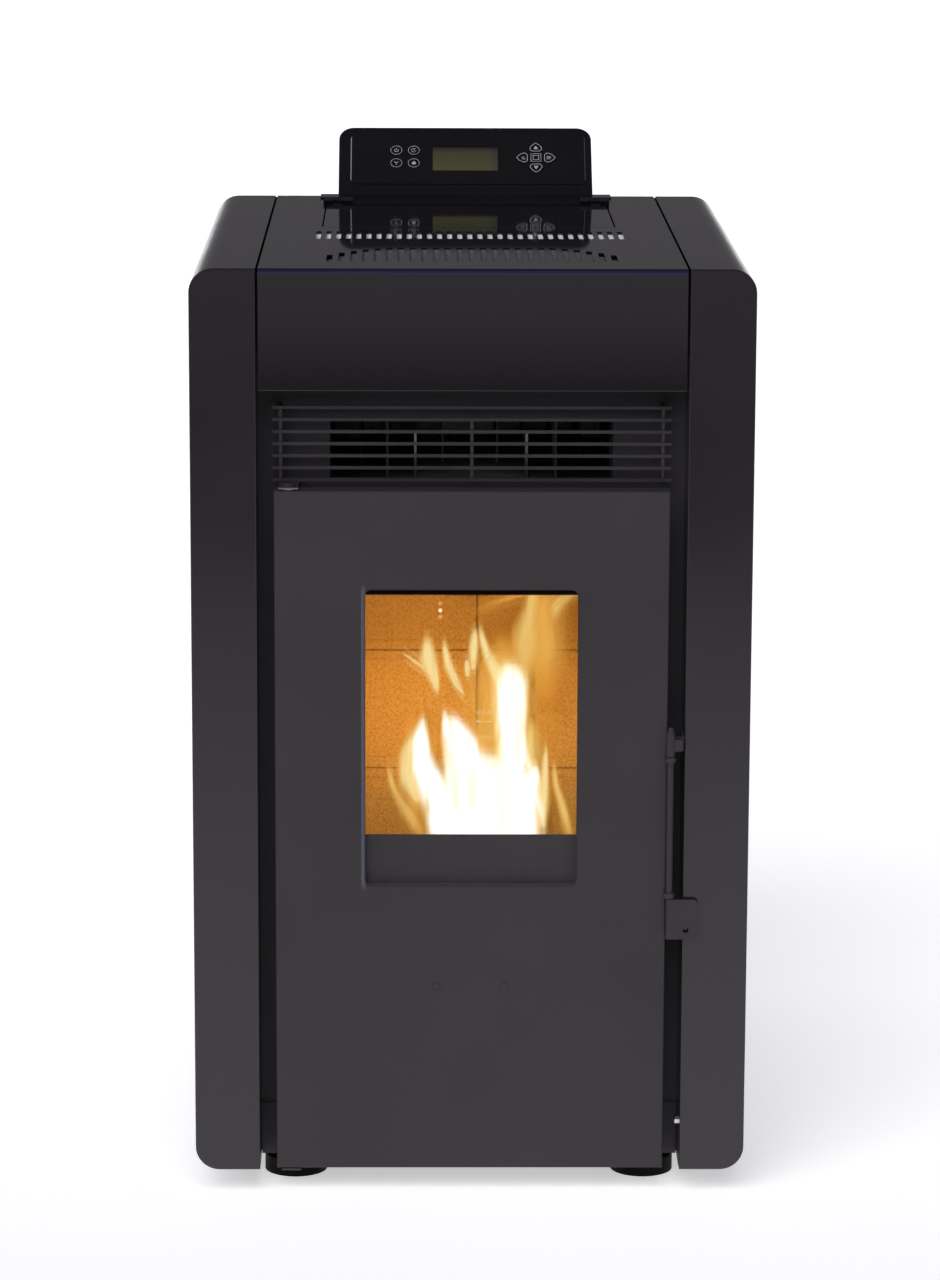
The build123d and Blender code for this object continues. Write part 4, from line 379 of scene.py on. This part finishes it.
def embers():
    """Charred pellets that glow where the noise is high."""
    material, tree, shader = new_material("embers")
    heat = grain(tree, 120.0, 4.0)
    tree.links.new(ramp(tree, heat, (0.4, (0.02, 0.015, 0.012)), (0.6, (0.25, 0.12, 0.06))),
                   shader.inputs["Base Color"])
    glow = ramp(tree, heat, (0.38, (0.05, 0.005, 0.0)), (0.5, (1.0, 0.22, 0.03)), (0.62, (1.0, 0.6, 0.2)))
    tree.links.new(glow, shader.inputs["Emission Color"])
    shader.inputs["Emission Strength"].default_value = 1.6
    shader.inputs["Roughness"].default_value = 0.9
    bump(tree, shader, grain(tree, 500.0), 0.0005)
    return material


def flame(name, cool, warm, hot, alpha, strength, foot=0.12):
    """A sheet of fire with streaks up it, which fades at its sides, tip and foot (a share of its height)."""
    material, tree, shader = new_material(name)
    place = node(tree, "SeparateXYZ", {"Vector": node(tree, "TexCoord").outputs["UV"]})
    side = math_node(tree, "ABSOLUTE", math_node(tree, "SUBTRACT", place.outputs["X"], 0.5))
    streaks = grain(tree, 70.0, 4.0, (1.0, 1.0, 0.25), 0.8)
    ragged = math_node(tree, "ADD", side, scaled(tree, math_node(tree, "SUBTRACT", streaks, 0.5), 0.45))
    body = node(tree, "MapRange", {"Value": ragged, "From Min": 0.46, "From Max": 0.10},
                interpolation_type="SMOOTHSTEP").outputs["Result"]
    rim = spread(tree, side, 1.0, 0.0, 0.36, 0.5)
    tip = spread(tree, place.outputs["Y"], 1.0, 0.0, 0.82, 1.0)
    start = spread(tree, place.outputs["Y"], 0.0, 1.0, 0.0, foot)
    power = scaled(tree, scaled(tree, body, scaled(tree, tip, start)), rim)
    colour = ramp(tree, power, (0.05, cool), (0.45, warm), (0.85, hot))
    tree.links.new(colour, shader.inputs["Emission Color"])
    tree.links.new(scaled(tree, power, alpha), shader.inputs["Alpha"])
    shader.inputs["Base Color"].default_value = (0, 0, 0, 1)
    shader.inputs["Specular IOR Level"].default_value = 0.0
    shader.inputs["Roughness"].default_value = 1.0
    shader.inputs["Emission Strength"].default_value = strength
    return material


def floor_paint():
    """A back-lit white studio floor, whose light fades out before its front edge."""
    material = finish("floor_paint", (0.80, 0.80, 0.81), (0.83, 0.83, 0.83), 0.6, (0.75, 0.85), 4.0, 60.0,
                      0.0001, emission_strength=0.62)
    tree, shader, _ = painted(material)
    depth = spread(tree, along(tree, "Y"), 0, 1, -FLOOR_FRONT, 0.3)
    light = ramp(tree, depth, (0.0, grey(0)), (0.11, grey(0)), (0.52, grey(0.55)), (0.78, grey(0.72)),
                 (1.0, grey(1)))
    tree.links.new(light, shader.inputs["Emission Color"])
    return material


def cover_paint():
    """The centre cover's mirror-bright black, with painted shade darker towards the apron's foot and a
    painted bluish highlight along its fold.
    """
    material, tree, shader = new_material("cover_paint")
    wavering_place = math_node(tree, "ADD", along(tree, "Z"), scaled(tree, grain(tree, 6.0, 4.0), 0.0005))
    rise = spread(tree, wavering_place, 0, 1, at(0, 0, CASING_H - APRON_H).z, at(0, 0, CASING_H).z)
    fold_highlight = (0.010, 0.010, 0.042)
    # painted shade: darker at the apron's foot; painted highlight: a bluish line along the fold
    paint = ramp(tree, rise, (0.0, (0.0072, 0.0065, 0.0073)), (0.955, (0.0085, 0.0077, 0.0087)),
                 (0.967, fold_highlight), (0.985, fold_highlight), (0.992, (0.0068, 0.0062, 0.0068)))
    tree.links.new(paint, shader.inputs["Base Color"])
    tree.links.new(spread(tree, grain(tree, 12.0), 0.035, 0.06), shader.inputs["Roughness"])
    tree.links.new(spread(tree, rise, 0.42, 0.60, 0.0, 0.6), shader.inputs["Specular IOR Level"])
    shader.inputs["Specular Tint"].default_value = VIOLET
    bump(tree, shader, grain(tree, 500.0), 0.000002)
    return material


def hinge_paint():
    """Dark paint, and bright metal at the height of the upper hinge pin's washer."""
    material = finish("hinge_paint", (0.0260, 0.0234, 0.0262), (0.0310, 0.0279, 0.0312), 9.0, (0.35, 0.45),
                      30.0, 1200.0, 0.000030)
    tree, shader, paint = painted(material)
    bright = line_at(tree, along(tree, "Z"), at(0, 0, WASHER_Z).z, WASHER_HALF)
    tree.links.new(mix(tree, bright, paint, (0.70, 0.70, 0.72, 1)), shader.inputs["Base Color"])
    return material


GRAIN_X, GRAIN_Y = (0.06, 1, 1), (1, 0.06, 1)     # scratches that run along an axis
VIOLET = (1.0, 0.91, 0.98, 1)                     # the paints' faint tint
MATERIALS = {
    "casing_paint": finish("casing_paint", (0.0094, 0.0085, 0.0096), (0.0106, 0.0095, 0.0108), 6.0,
                           (0.13, 0.17), 12.0, 1100.0, 0.000010, specular_tint=VIOLET,
                           specular_ior_level=0.60),
    "door_paint": door_paint(),
    "handle_paint": finish("handle_paint", (0.0290, 0.0260, 0.0290), (0.0335, 0.0300, 0.0335), 60.0,
                           (0.50, 0.60), 90.0, 1500.0, 0.000030, specular_tint=VIOLET,
                           specular_ior_level=0.25),
    "inner_paint": finish("inner_paint", (0.0300, 0.0272, 0.0302), (0.0350, 0.0316, 0.0352), 9.0,
                          (0.55, 0.7), 30.0, 1200.0, 0.000030, specular_ior_level=0.25),
    "grille_paint": finish("grille_paint", (0.022, 0.0198, 0.0222), (0.030, 0.0270, 0.0303), 30.0,
                           (0.32, 0.42), 60.0, 1200.0, 0.000020, specular_tint=VIOLET),
    "rear_paint": finish("rear_paint", (0.016, 0.0155, 0.0165), (0.021, 0.020, 0.0215), 5.0, (0.45, 0.55),
                         16.0, 1100.0, 0.000030),
    "stove_steel": finish("stove_steel", (0.022, 0.021, 0.020), (0.045, 0.042, 0.040), 25.0, (0.55, 0.75),
                          60.0, 600.0, 0.000060, metallic=0.3),
    "motor_black": finish("motor_black", (0.015, 0.015, 0.016), (0.024, 0.024, 0.026), 40.0, (0.35, 0.5),
                          80.0, 900.0, 0.000030),
    "cast_iron": finish("cast_iron", (0.030, 0.028, 0.027), (0.075, 0.065, 0.058), 60.0, (0.6, 0.85),
                        120.0, 450.0, 0.00025, bump_detail=6.0, metallic=0.4),
    "foot_plastic": finish("foot_plastic", (0.0025, 0.0025, 0.0027), (0.004, 0.004, 0.0042), 50.0,
                           (0.5, 0.65), 120.0, 1400.0, 0.000050, specular_ior_level=0.1),
    "gloss_black": finish("gloss_black", (0.0040, 0.0037, 0.0042), (0.0055, 0.0050, 0.0056), 12.0,
                          (0.07, 0.13), 35.0, 300.0, 0.000004),
    "fascia_black": fascia_film(),
    "key_black": finish("key_black", (0.0050, 0.0048, 0.0055), (0.0070, 0.0066, 0.0072), 50.0, (0.18, 0.26),
                        90.0, 900.0, 0.000006),
    "electric_black": finish("electric_black", grey(0.012), grey(0.018), 60.0, (0.38, 0.5), 120.0, 1600.0,
                             0.000040),
    "switch_plastic": finish("switch_plastic", (0.46, 0.46, 0.44), (0.54, 0.54, 0.52), 50.0, (0.4, 0.5),
                             80.0, 1200.0, 0.000020),
    "bright_steel": brushed("bright_steel", (0.50, 0.50, 0.51), (0.62, 0.62, 0.63), GRAIN_Y),
    "chrome": brushed("chrome", (0.80, 0.80, 0.82), (0.88, 0.88, 0.90), GRAIN_X, (0.06, 0.14)),
    "aluminium": brushed("aluminium", (0.66, 0.67, 0.68), (0.76, 0.77, 0.78), GRAIN_X, (0.3, 0.45)),
    "galvanised": galvanised(),
    "firebrick": firebrick(),
    "rope": braid(),
    "glass": clear_glass(),
    "display": display_face(),
    "board_green": circuit_board(),
}
PLATE = baffle_plate()
INK = finish("key_ink", (0.30, 0.31, 0.33), (0.38, 0.39, 0.41), 400.0, (0.45, 0.6), 300.0, 1500.0, 0.000005)
EMBERS = embers()
SPARK_GLOW = finish("spark_glow", (0.85, 0.60, 0.30), (1.0, 0.75, 0.45), 400.0,
                    emission_color=(1.0, 0.86, 0.62, 1), emission_strength=0.9)
FLAMES = {
    "glow": flame("flame_glow", (0.90, 0.30, 0.03), (0.95, 0.42, 0.06), (1.0, 0.52, 0.10), 0.45, 0.9, 0.5),
    "wisp": flame("flame_wisp", (1.0, 0.46, 0.06), (1.0, 0.60, 0.14), (1.0, 0.78, 0.34), 0.75, 0.95),
    "haze": flame("flame_haze", (1.0, 0.44, 0.05), (1.0, 0.54, 0.10), (1.0, 0.66, 0.20), 0.60, 0.85, 0.3),
    "tongue": flame("flame_tongue", (1.0, 0.60, 0.13), (1.0, 0.83, 0.42), (1.0, 0.98, 0.88), 1.0, 1.15),
    "core": flame("flame_core", (1.0, 0.75, 0.28), (1.0, 0.95, 0.75), (1.0, 1.0, 1.0), 1.0, 1.3),
}
COVER = cover_paint()
# A lighter copy of the door paint for the ash guard behind the glass: painted light in place of what the
# glass holds back.
GUARD_LIT = finish("guard_paint_lit", (0.046, 0.0415, 0.0465), (0.052, 0.047, 0.0525), 7.0, (0.58, 0.66), 20.0,
               1500.0, 0.000020, specular_tint=VIOLET, specular_ior_level=0.25)
OTHER_FINISH = {"ash_guard": GUARD_LIT, "vent_baffles": PLATE, "top_cover": COVER, "hopper_lid": COVER,
                "control_bracket": MATERIALS["gloss_black"], "hinge_brackets": hinge_paint()}


def dress_nodes():
    slots = {part["node"]: part["material_slot"] for part in frame["record"]["subparts"]}
    for name, piece in frame["nodes"].items():
        material = OTHER_FINISH.get(name) or MATERIALS[slots[name]]
        piece.data.materials.clear()
        piece.data.materials.append(material)


# ---------------------------------------------------------------- mesh helpers
def add_piece(name, mesh, material, body, smooth=True):
    piece = bpy.data.objects.new(name, mesh)
    bpy.context.scene.collection.objects.link(piece)
    mesh.materials.append(material)
    for face in mesh.polygons:
        face.use_smooth = smooth
    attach(piece, body)
    return piece


def mesh_from(bm, name):
    bmesh.ops.recalc_face_normals(bm, faces=bm.faces)
    mesh = bpy.data.meshes.new(name)
    bm.to_mesh(mesh)
    bm.free()
    return mesh


def on_panel(x, up, height):
    """A point on the leaning control panel: across, up its face and off it, in mm."""
    foot = at(0, BODY_D + PANEL_BEHIND, CASING_H + PANEL_UP)
    return foot + Vector((x, up * math.sin(LEAN) - height * math.cos(LEAN),
                          up * math.cos(LEAN) + height * math.sin(LEAN))) / 1000


INK_T = 0.12               # printed strokes above the key's face, mm
SHARPEST = 0.4             # least cosine of half a bend, which keeps the mitres short


def prism(bm, outline):
    """A raised flat shape on the keys' faces, from its outline in panel millimetres."""
    foot = [bm.verts.new(on_panel(x, up, KEY_TOP)) for x, up in outline]
    top = [bm.verts.new(on_panel(x, up, KEY_TOP + INK_T)) for x, up in outline]
    bm.faces.new(top)
    bm.faces.new(list(reversed(foot)))
    for i in range(len(outline)):
        j = (i + 1) % len(outline)
        bm.faces.new((foot[i], foot[j], top[j], top[i]))


def stroke(bm, points, width, closed=False):
    """A line of even width along points, mitred at its bends."""
    count = len(points)
    sides = []
    for i, point in enumerate(points):
        here = Vector(point)
        before = Vector(points[i - 1]) if closed or i else None
        after = Vector(points[(i + 1) % count]) if closed or i < count - 1 else None
        into = (here - before).normalized() if before is not None else (after - here).normalized()
        out = (after - here).normalized() if after is not None else into
        across = Vector((-(into.y + out.y), into.x + out.x)).normalized()
        half = width / 2 / max(SHARPEST, across.dot(Vector((-into.y, into.x))))
        sides.append((here + across * half, here - across * half))
    for i in range(count if closed else count - 1):
        (a, b), (c, d) = sides[i], sides[(i + 1) % count]
        prism(bm, [tuple(p) for p in (b, d, c, a)])


def arc(x, up, radius, start=0.0, end=360.0, steps=28):
    turns = [math.radians(start + (end - start) * i / steps) for i in range(steps + 1)]
    return [(x + radius * math.cos(t), up + radius * math.sin(t)) for t in turns]


def icon(name, key, draw):
    bm = bmesh.new()
    draw(bm)
    add_piece(name, mesh_from(bm, name), INK, key, smooth=False)


# ---------------------------------------------------------------- printed key symbols
RING_R, LINE_W, THIN_W = 5.2, 0.55, 0.42     # a ring's radius and the two widths of line, mm


def ring(bm, x, up):
    stroke(bm, arc(x, up, RING_R)[:-1], THIN_W, closed=True)


def power_symbol(bm):
    x, up = ROUND_KEYS["key_power"]
    ring(bm, x, up)
    stroke(bm, arc(x, up - 0.2, 1.8, 130, 410), LINE_W)
    stroke(bm, [(x, up + 0.2), (x, up + 2.4)], LINE_W)


def timer_symbol(bm):
    x, up = ROUND_KEYS["key_timer"]
    ring(bm, x, up)
    stroke(bm, arc(x, up, 2.2, 40, 320), THIN_W)
    stroke(bm, [(x, up + 1.3), (x, up), (x + 1.3, up)], THIN_W)


def menu_symbol(bm):
    x, up = ROUND_KEYS["key_menu"]
    ring(bm, x, up)
    stroke(bm, [(x - 2.0, up + 1.6), (x, up), (x + 2.0, up + 1.6)], LINE_W)
    stroke(bm, [(x, up), (x, up - 2.2)], LINE_W)


def fan_symbol(bm):
    x, up = ROUND_KEYS["key_fan"]
    ring(bm, x, up)
    flame_outline = [(-1.9, -2.2), (1.9, -2.2), (2.5, -0.8), (2.2, 0.8), (1.0, 2.2), (0.1, 3.0),
                     (-0.4, 1.6), (-1.5, 1.0), (-2.4, -0.4)]
    prism(bm, [(x + 0.8 * a, up + 0.8 * b) for a, b in flame_outline])


PETAL = [(-3.6, 8.0), (3.6, 8.0), (5.3, 9.8), (5.6, 11.2), (4.9, 13.2), (2.9, 15.9), (0.0, 18.0),
         (-2.9, 15.9), (-4.9, 13.2), (-5.6, 11.2), (-5.3, 9.8)]


def pad_point(x, up, turn):
    cos, sin = math.cos(math.radians(turn)), math.sin(math.radians(turn))
    return PAD_X + x * cos - up * sin, PAD_UP + x * sin + up * cos


def petal(turn, outlines, lines):
    def draw(bm):
        stroke(bm, [pad_point(x, up, turn) for x, up in PETAL], LINE_W, closed=True)
        for outline in outlines:
            prism(bm, [pad_point(x, up, turn) for x, up in outline])
        for line in lines:
            stroke(bm, [pad_point(x, up, turn) for x, up in line], LINE_W)
    return draw


def centre_symbol(bm):
    for half, width in ((4.7, THIN_W), (2.6, LINE_W)):
        stroke(bm, [(PAD_X - half, PAD_UP - half), (PAD_X + half, PAD_UP - half),
                    (PAD_X + half, PAD_UP + half), (PAD_X - half, PAD_UP + half)], width, closed=True)


def print_keys():
    arrow = [(-2.2, 10.4), (2.2, 10.4), (0.3, 14.2), (-0.3, 14.2)]
    back_arrow = [[(-1.8, 9.6), (-1.8, 12.0), (0.4, 13.2)], [(0.4, 10.4), (0.4, 13.6)]]
    bars = [[(-1.7, 10.0), (-1.2, 13.8)], [(0.0, 9.8), (0.0, 14.2)], [(1.7, 10.0), (1.2, 13.8)]]
    icon("power_symbol", "key_power", power_symbol)
    icon("timer_symbol", "key_timer", timer_symbol)
    icon("menu_symbol", "key_menu", menu_symbol)
    icon("fan_symbol", "key_fan", fan_symbol)
    icon("up_symbol", "key_up", petal(0, [arrow], []))
    icon("left_symbol", "key_left", petal(90, [], back_arrow))
    icon("down_symbol", "key_down", petal(180, [arrow], []))
    icon("right_symbol", "key_right", petal(270, [], bars))
    icon("centre_symbol", "key_centre", centre_symbol)


# ---------------------------------------------------------------- the fire
# The lit part of the window in the photograph, in its pixels. The points of a tongue are shares of it.
WINDOW_LEFT, WINDOW_RIGHT, WINDOW_TOP, WINDOW_FOOT = 367.5, 578.5, 594.0, 834.5


def window_point(across, up, depth):
    wide, high = WINDOW_RIGHT - WINDOW_LEFT, WINDOW_FOOT - WINDOW_TOP
    return sight(WINDOW_LEFT + across * wide, WINDOW_FOOT - up * high, depth)


def window_width(depth):
    return (window_point(1, 0.5, depth) - window_point(0, 0.5, depth)).length


def smooth_run(points, steps):
    """Catmull-Rom points along a run of tuples."""
    run = [Vector(points[0])] + [Vector(p) for p in points] + [Vector(points[-1])]
    out = []
    for i in range(1, len(run) - 2):
        a, b, c, d = run[i - 1:i + 3]
        for k in range(steps):
            t = k / steps
            out.append(0.5 * ((2 * b) + (c - a) * t + (2 * a - 5 * b + 4 * c - d) * t * t
                              + (3 * b - a - 3 * c + d) * t * t * t))
    out.append(run[-1])
    return out


SHEET_COLUMNS = 8
SHEET_TURNS = (0, 60, -60)     # a flame is three crossing sheets, turned by these degrees
FLAME_STEPS = 5                # rows of a sheet between two points of its run
THINNEST = 0.25                # half of a sheet's least width, mm
RIPPLE = 0.35                  # how far a sheet bends, as a share of half its width


def sheet(bm, uv, rings, turn):
    """A waving ribbon across a run of (centre, half width) rings, with its place in it as UV."""
    aside = Vector((math.cos(math.radians(turn)), math.sin(math.radians(turn)), 0))
    rows = []
    for centre, half in rings:
        row = []
        for c in range(SHEET_COLUMNS + 1):
            across = 2 * c / SHEET_COLUMNS - 1
            ripple = noise.noise(Vector((centre.z * 0.03, across * 1.3, turn)))
            bend = Vector((-aside.y, aside.x, 0)) * half * RIPPLE * ripple
            row.append(bm.verts.new(at(*(centre + aside * half * across + bend))))
        rows.append(row)
    for r in range(len(rows) - 1):
        for c in range(SHEET_COLUMNS):
            face = bm.faces.new((rows[r][c], rows[r][c + 1], rows[r + 1][c + 1], rows[r + 1][c]))
            corners = ((c, r), (c + 1, r), (c + 1, r + 1), (c, r + 1))
            for loop, (i, j) in zip(face.loops, corners):
                loop[uv].uv = (i / SHEET_COLUMNS, j / (len(rows) - 1))


TONGUES = {
    # name: (depth, kind, (across, up, half width) points)
    "flame_tall": (188, "tongue", [
        (0.66, -0.12, 0.15), (0.675, 0.10, 0.145), (0.685, 0.30, 0.13), (0.682, 0.48, 0.12),
        (0.680, 0.62, 0.115), (0.68, 0.72, 0.11)]),
    "flame_tall_core": (184, "core", [
        (0.66, -0.12, 0.13), (0.675, 0.10, 0.125), (0.682, 0.30, 0.11), (0.68, 0.48, 0.10),
        (0.676, 0.62, 0.10), (0.675, 0.715, 0.095)]),
    "flame_heart": (196, "core", [
        (0.56, -0.14, 0.34), (0.56, 0.05, 0.33), (0.56, 0.16, 0.29), (0.565, 0.25, 0.20),
        (0.60, 0.34, 0.10)]),
    "flame_middle": (176, "core", [
        (0.50, -0.14, 0.28), (0.50, 0.06, 0.27), (0.49, 0.20, 0.24), (0.47, 0.32, 0.17),
        (0.43, 0.42, 0.10), (0.39, 0.50, 0.05)]),
    "flame_middle_tip": (172, "tongue", [
        (0.46, 0.10, 0.13), (0.44, 0.24, 0.12), (0.41, 0.35, 0.08), (0.38, 0.44, 0.045),
        (0.362, 0.52, 0.02)]),
    "flame_right": (172, "core", [
        (0.72, -0.14, 0.16), (0.73, 0.04, 0.15), (0.745, 0.14, 0.12), (0.77, 0.22, 0.07),
        (0.80, 0.29, 0.03)]),
    "flame_left": (168, "core", [
        (0.42, -0.08, 0.13), (0.37, 0.08, 0.13), (0.31, 0.20, 0.12), (0.27, 0.30, 0.09),
        (0.255, 0.40, 0.06), (0.265, 0.49, 0.025)]),
    "flame_left_lobe": (182, "wisp", [
        (0.25, 0.12, 0.03), (0.20, 0.20, 0.06), (0.185, 0.28, 0.065), (0.20, 0.36, 0.055),
        (0.23, 0.44, 0.03)]),
    "flame_right_thin": (200, "wisp", [
        (0.82, 0.02, 0.05), (0.835, 0.14, 0.045), (0.84, 0.26, 0.03), (0.85, 0.38, 0.015)]),
    "flame_right_side": (204, "haze", [
        (0.78, -0.05, 0.11), (0.79, 0.15, 0.10), (0.775, 0.34, 0.07), (0.775, 0.50, 0.03)]),
    "flame_skirt_left": (206, "glow", [
        (0.30, -0.10, 0.22), (0.26, 0.10, 0.20), (0.24, 0.30, 0.17), (0.26, 0.52, 0.10)]),
    "flame_skirt": (216, "glow", [
        (0.58, -0.10, 0.50), (0.60, 0.25, 0.46), (0.64, 0.55, 0.34), (0.68, 0.86, 0.20)]),
    "flame_streak_left": (210, "haze", [
        (0.28, -0.04, 0.05), (0.20, 0.08, 0.045), (0.13, 0.18, 0.03), (0.09, 0.30, 0.015)]),
    "flame_streak_right": (212, "haze", [
        (0.97, -0.05, 0.05), (0.93, 0.10, 0.045), (0.895, 0.20, 0.03), (0.885, 0.30, 0.015)]),
    "flame_leaf_left": (196, "wisp", [
        (0.335, 0.58, 0.01), (0.315, 0.65, 0.045), (0.295, 0.71, 0.065), (0.285, 0.76, 0.06),
        (0.28, 0.83, 0.03)]),
    "flame_leaf_wing": (204, "wisp", [
        (0.315, 0.66, 0.015), (0.27, 0.69, 0.035), (0.225, 0.72, 0.03), (0.16, 0.76, 0.012)]),
    "flame_leaf_next": (200, "wisp", [
        (0.465, 0.57, 0.01), (0.42, 0.63, 0.032), (0.39, 0.69, 0.045), (0.375, 0.75, 0.035),
        (0.36, 0.81, 0.015)]),
    "flame_drop": (206, "wisp", [
        (0.475, 0.655, 0.012), (0.474, 0.69, 0.028), (0.472, 0.73, 0.012)]),
    "flame_leaf_right": (206, "wisp", [
        (0.665, 0.58, 0.05), (0.62, 0.66, 0.06), (0.58, 0.73, 0.05), (0.55, 0.80, 0.03),
        (0.53, 0.87, 0.012)]),
    "flame_wisp_middle": (214, "wisp", [
        (0.50, 0.68, 0.02), (0.505, 0.76, 0.04), (0.51, 0.86, 0.015)]),
    "flame_wisp_right": (208, "haze", [
        (0.76, 0.62, 0.05), (0.75, 0.74, 0.09), (0.755, 0.86, 0.09), (0.78, 0.96, 0.06),
        (0.80, 1.06, 0.03)]),
    "flame_wisp_far": (212, "glow", [
        (0.86, 0.50, 0.12), (0.84, 0.68, 0.16), (0.82, 0.86, 0.18), (0.86, 1.06, 0.14)]),
    "flame_wisp_top": (210, "haze", [
        (0.87, 0.88, 0.02), (0.90, 0.95, 0.05), (0.955, 1.0, 0.06), (1.02, 1.05, 0.04)]),
    "flame_haze_top": (222, "glow", [
        (0.48, 0.90, 0.06), (0.60, 0.96, 0.08), (0.74, 1.0, 0.09), (0.86, 1.04, 0.05)]),
}
SPARK = (0.345, 0.932, 0.010, 215)     # across, up, radius (shares of the window) and depth


def build_fire():
    for name, (depth, kind, points) in TONGUES.items():
        wide = window_width(depth)
        run = smooth_run([(*window_point(a, u, depth), w * wide) for a, u, w in points], FLAME_STEPS)
        rings = [(Vector(p[:3]), max(THINNEST, p[3])) for p in run]
        bm = bmesh.new()
        uv = bm.loops.layers.uv.new("sheet")
        for turn in SHEET_TURNS:
            sheet(bm, uv, rings, turn)
        mesh = bpy.data.meshes.new(name)
        bm.to_mesh(mesh)
        bm.free()
        add_piece(name, mesh, FLAMES[kind], "pot").visible_shadow = False
    across, up, half, depth = SPARK
    bm = bmesh.new()
    place = at(*window_point(across, up, depth))
    bmesh.ops.create_icosphere(bm, subdivisions=2, radius=half * window_width(depth) / 1000,
                               matrix=Matrix.Translation(place))
    add_piece("spark", mesh_from(bm, "spark"), SPARK_GLOW, "pot").visible_shadow = False


PELLETS, PELLET_R, PELLET_L = 90, 3.0, 13.0
HEAP_H, HEAP_SHARE = 12.0, 0.82     # the heap's rise at its middle, mm, and its share of the pot's floor


def build_embers():
    """A heap of glowing pellets in the burn pot."""
    draw = random.Random(7)
    bm = bmesh.new()
    radius, reach = PELLET_R / 1000, POT_HALF - 5
    for _ in range(PELLETS):
        x, y = (draw.uniform(-reach, reach) for _ in range(2))
        heap = HEAP_H * (1 - (x * x + y * y) / (2 * POT_HALF * POT_HALF))
        z = POT_FLOOR + PELLET_R + 1 + draw.uniform(0, 8 + heap)
        lean = Matrix.Rotation(draw.uniform(-0.5, 0.5), 4, "Y") @ Matrix.Rotation(math.pi / 2, 4, "X")
        turn = Matrix.Rotation(draw.uniform(0, math.pi), 4, "Z")
        place = Matrix.Translation(at(x * HEAP_SHARE, POT_Y + y * HEAP_SHARE, z))
        bmesh.ops.create_cone(bm, cap_ends=True, segments=10, radius1=radius, radius2=radius,
                              depth=PELLET_L * draw.uniform(0.6, 1.0) / 1000, matrix=place @ turn @ lean)
    add_piece("burning_pellets", mesh_from(bm, "burning_pellets"), EMBERS, "pot")


# ---------------------------------------------------------------- stage
def area_light(name, place, aim, size, power, colour=(1, 1, 1)):
    data = bpy.data.lights.new(name, "AREA")
    data.shape, data.size, data.size_y = "RECTANGLE", *size
    data.energy, data.color = power, colour
    lamp = bpy.data.objects.new(name, data)
    bpy.context.scene.collection.objects.link(lamp)
    lamp.location = place
    lamp.rotation_euler = (Vector(aim) - Vector(place)).to_track_quat("-Z", "Y").to_euler()
    lamp.visible_camera = lamp.visible_glossy = lamp.visible_transmission = False


def build_stage():
    bm = bmesh.new()
    corners = ((-FLOOR_REACH, -FLOOR_FRONT), (FLOOR_REACH, -FLOOR_FRONT), (FLOOR_REACH, FLOOR_REACH),
               (-FLOOR_REACH, FLOOR_REACH))
    bm.faces.new([bm.verts.new((x, y, 0)) for x, y in corners])
    floor = bpy.data.objects.new("floor", mesh_from(bm, "floor"))
    floor.data.materials.append(floor_paint())
    bpy.context.scene.collection.objects.link(floor)
    sun = bpy.data.lights.new("sun", "SUN")
    sun.energy, sun.angle = 2.8, math.radians(56)
    lamp = bpy.data.objects.new("sun", sun)
    bpy.context.scene.collection.objects.link(lamp)
    lamp.rotation_euler = (math.radians(50), 0, math.radians(-18))
    lamp.visible_glossy = False
    glow = (1.0, 0.50, 0.16)
    area_light("fire_back", at(0, 150, FIRE_Z), at(0, 285, FIRE_Z), (0.18, 0.24), 0.42, glow)
    area_light("duct_light", at(0, 80, OUTLET_Z), at(0, 240, OUTLET_Z - 6), (0.12, 0.02), 0.025)
    area_light("fire_up", at(0, POT_Y, 260), at(0, POT_Y, 500), (0.10, 0.10), 0.20, glow)


def build_world():
    """A grey studio whose bands, from below the horizon to above it, are what the glossy black mirrors."""
    world = bpy.data.worlds.new("studio")
    bpy.context.scene.world = world
    world.use_nodes = True
    tree = world.node_tree
    way = node(tree, "SeparateXYZ", {"Vector": node(tree, "TexCoord").outputs["Generated"]})
    rise = spread(tree, way.outputs["Z"], 0, 1, -0.30, 0.90)
    sky = ramp(tree, rise, (0.085, grey(0.25)), (0.100, grey(0.02)), (0.122, grey(0)),
               (0.136, (0.36, 0.35, 0.36)), (0.155, (0.46, 0.45, 0.46)), (0.21, (0.35, 0.34, 0.35)),
               (0.32, (0.11, 0.105, 0.11)), (0.50, (0.105, 0.10, 0.107)), (0.60, (0.12, 0.12, 0.27)),
               (0.78, (0.12, 0.12, 0.14)), (1.0, (0.07, 0.07, 0.09)))
    tree.links.new(sky, tree.nodes["Background"].inputs["Color"])


def set_colours():
    view = bpy.context.scene.view_settings
    view.view_transform = "Standard"
    view.look = "None"
    view.exposure, view.gamma = 0.0, 1.0


add_camera()
dress_nodes()
print_keys()
build_fire()
build_embers()
build_stage()
build_world()
set_colours()

bpy.context.view_layer.update()
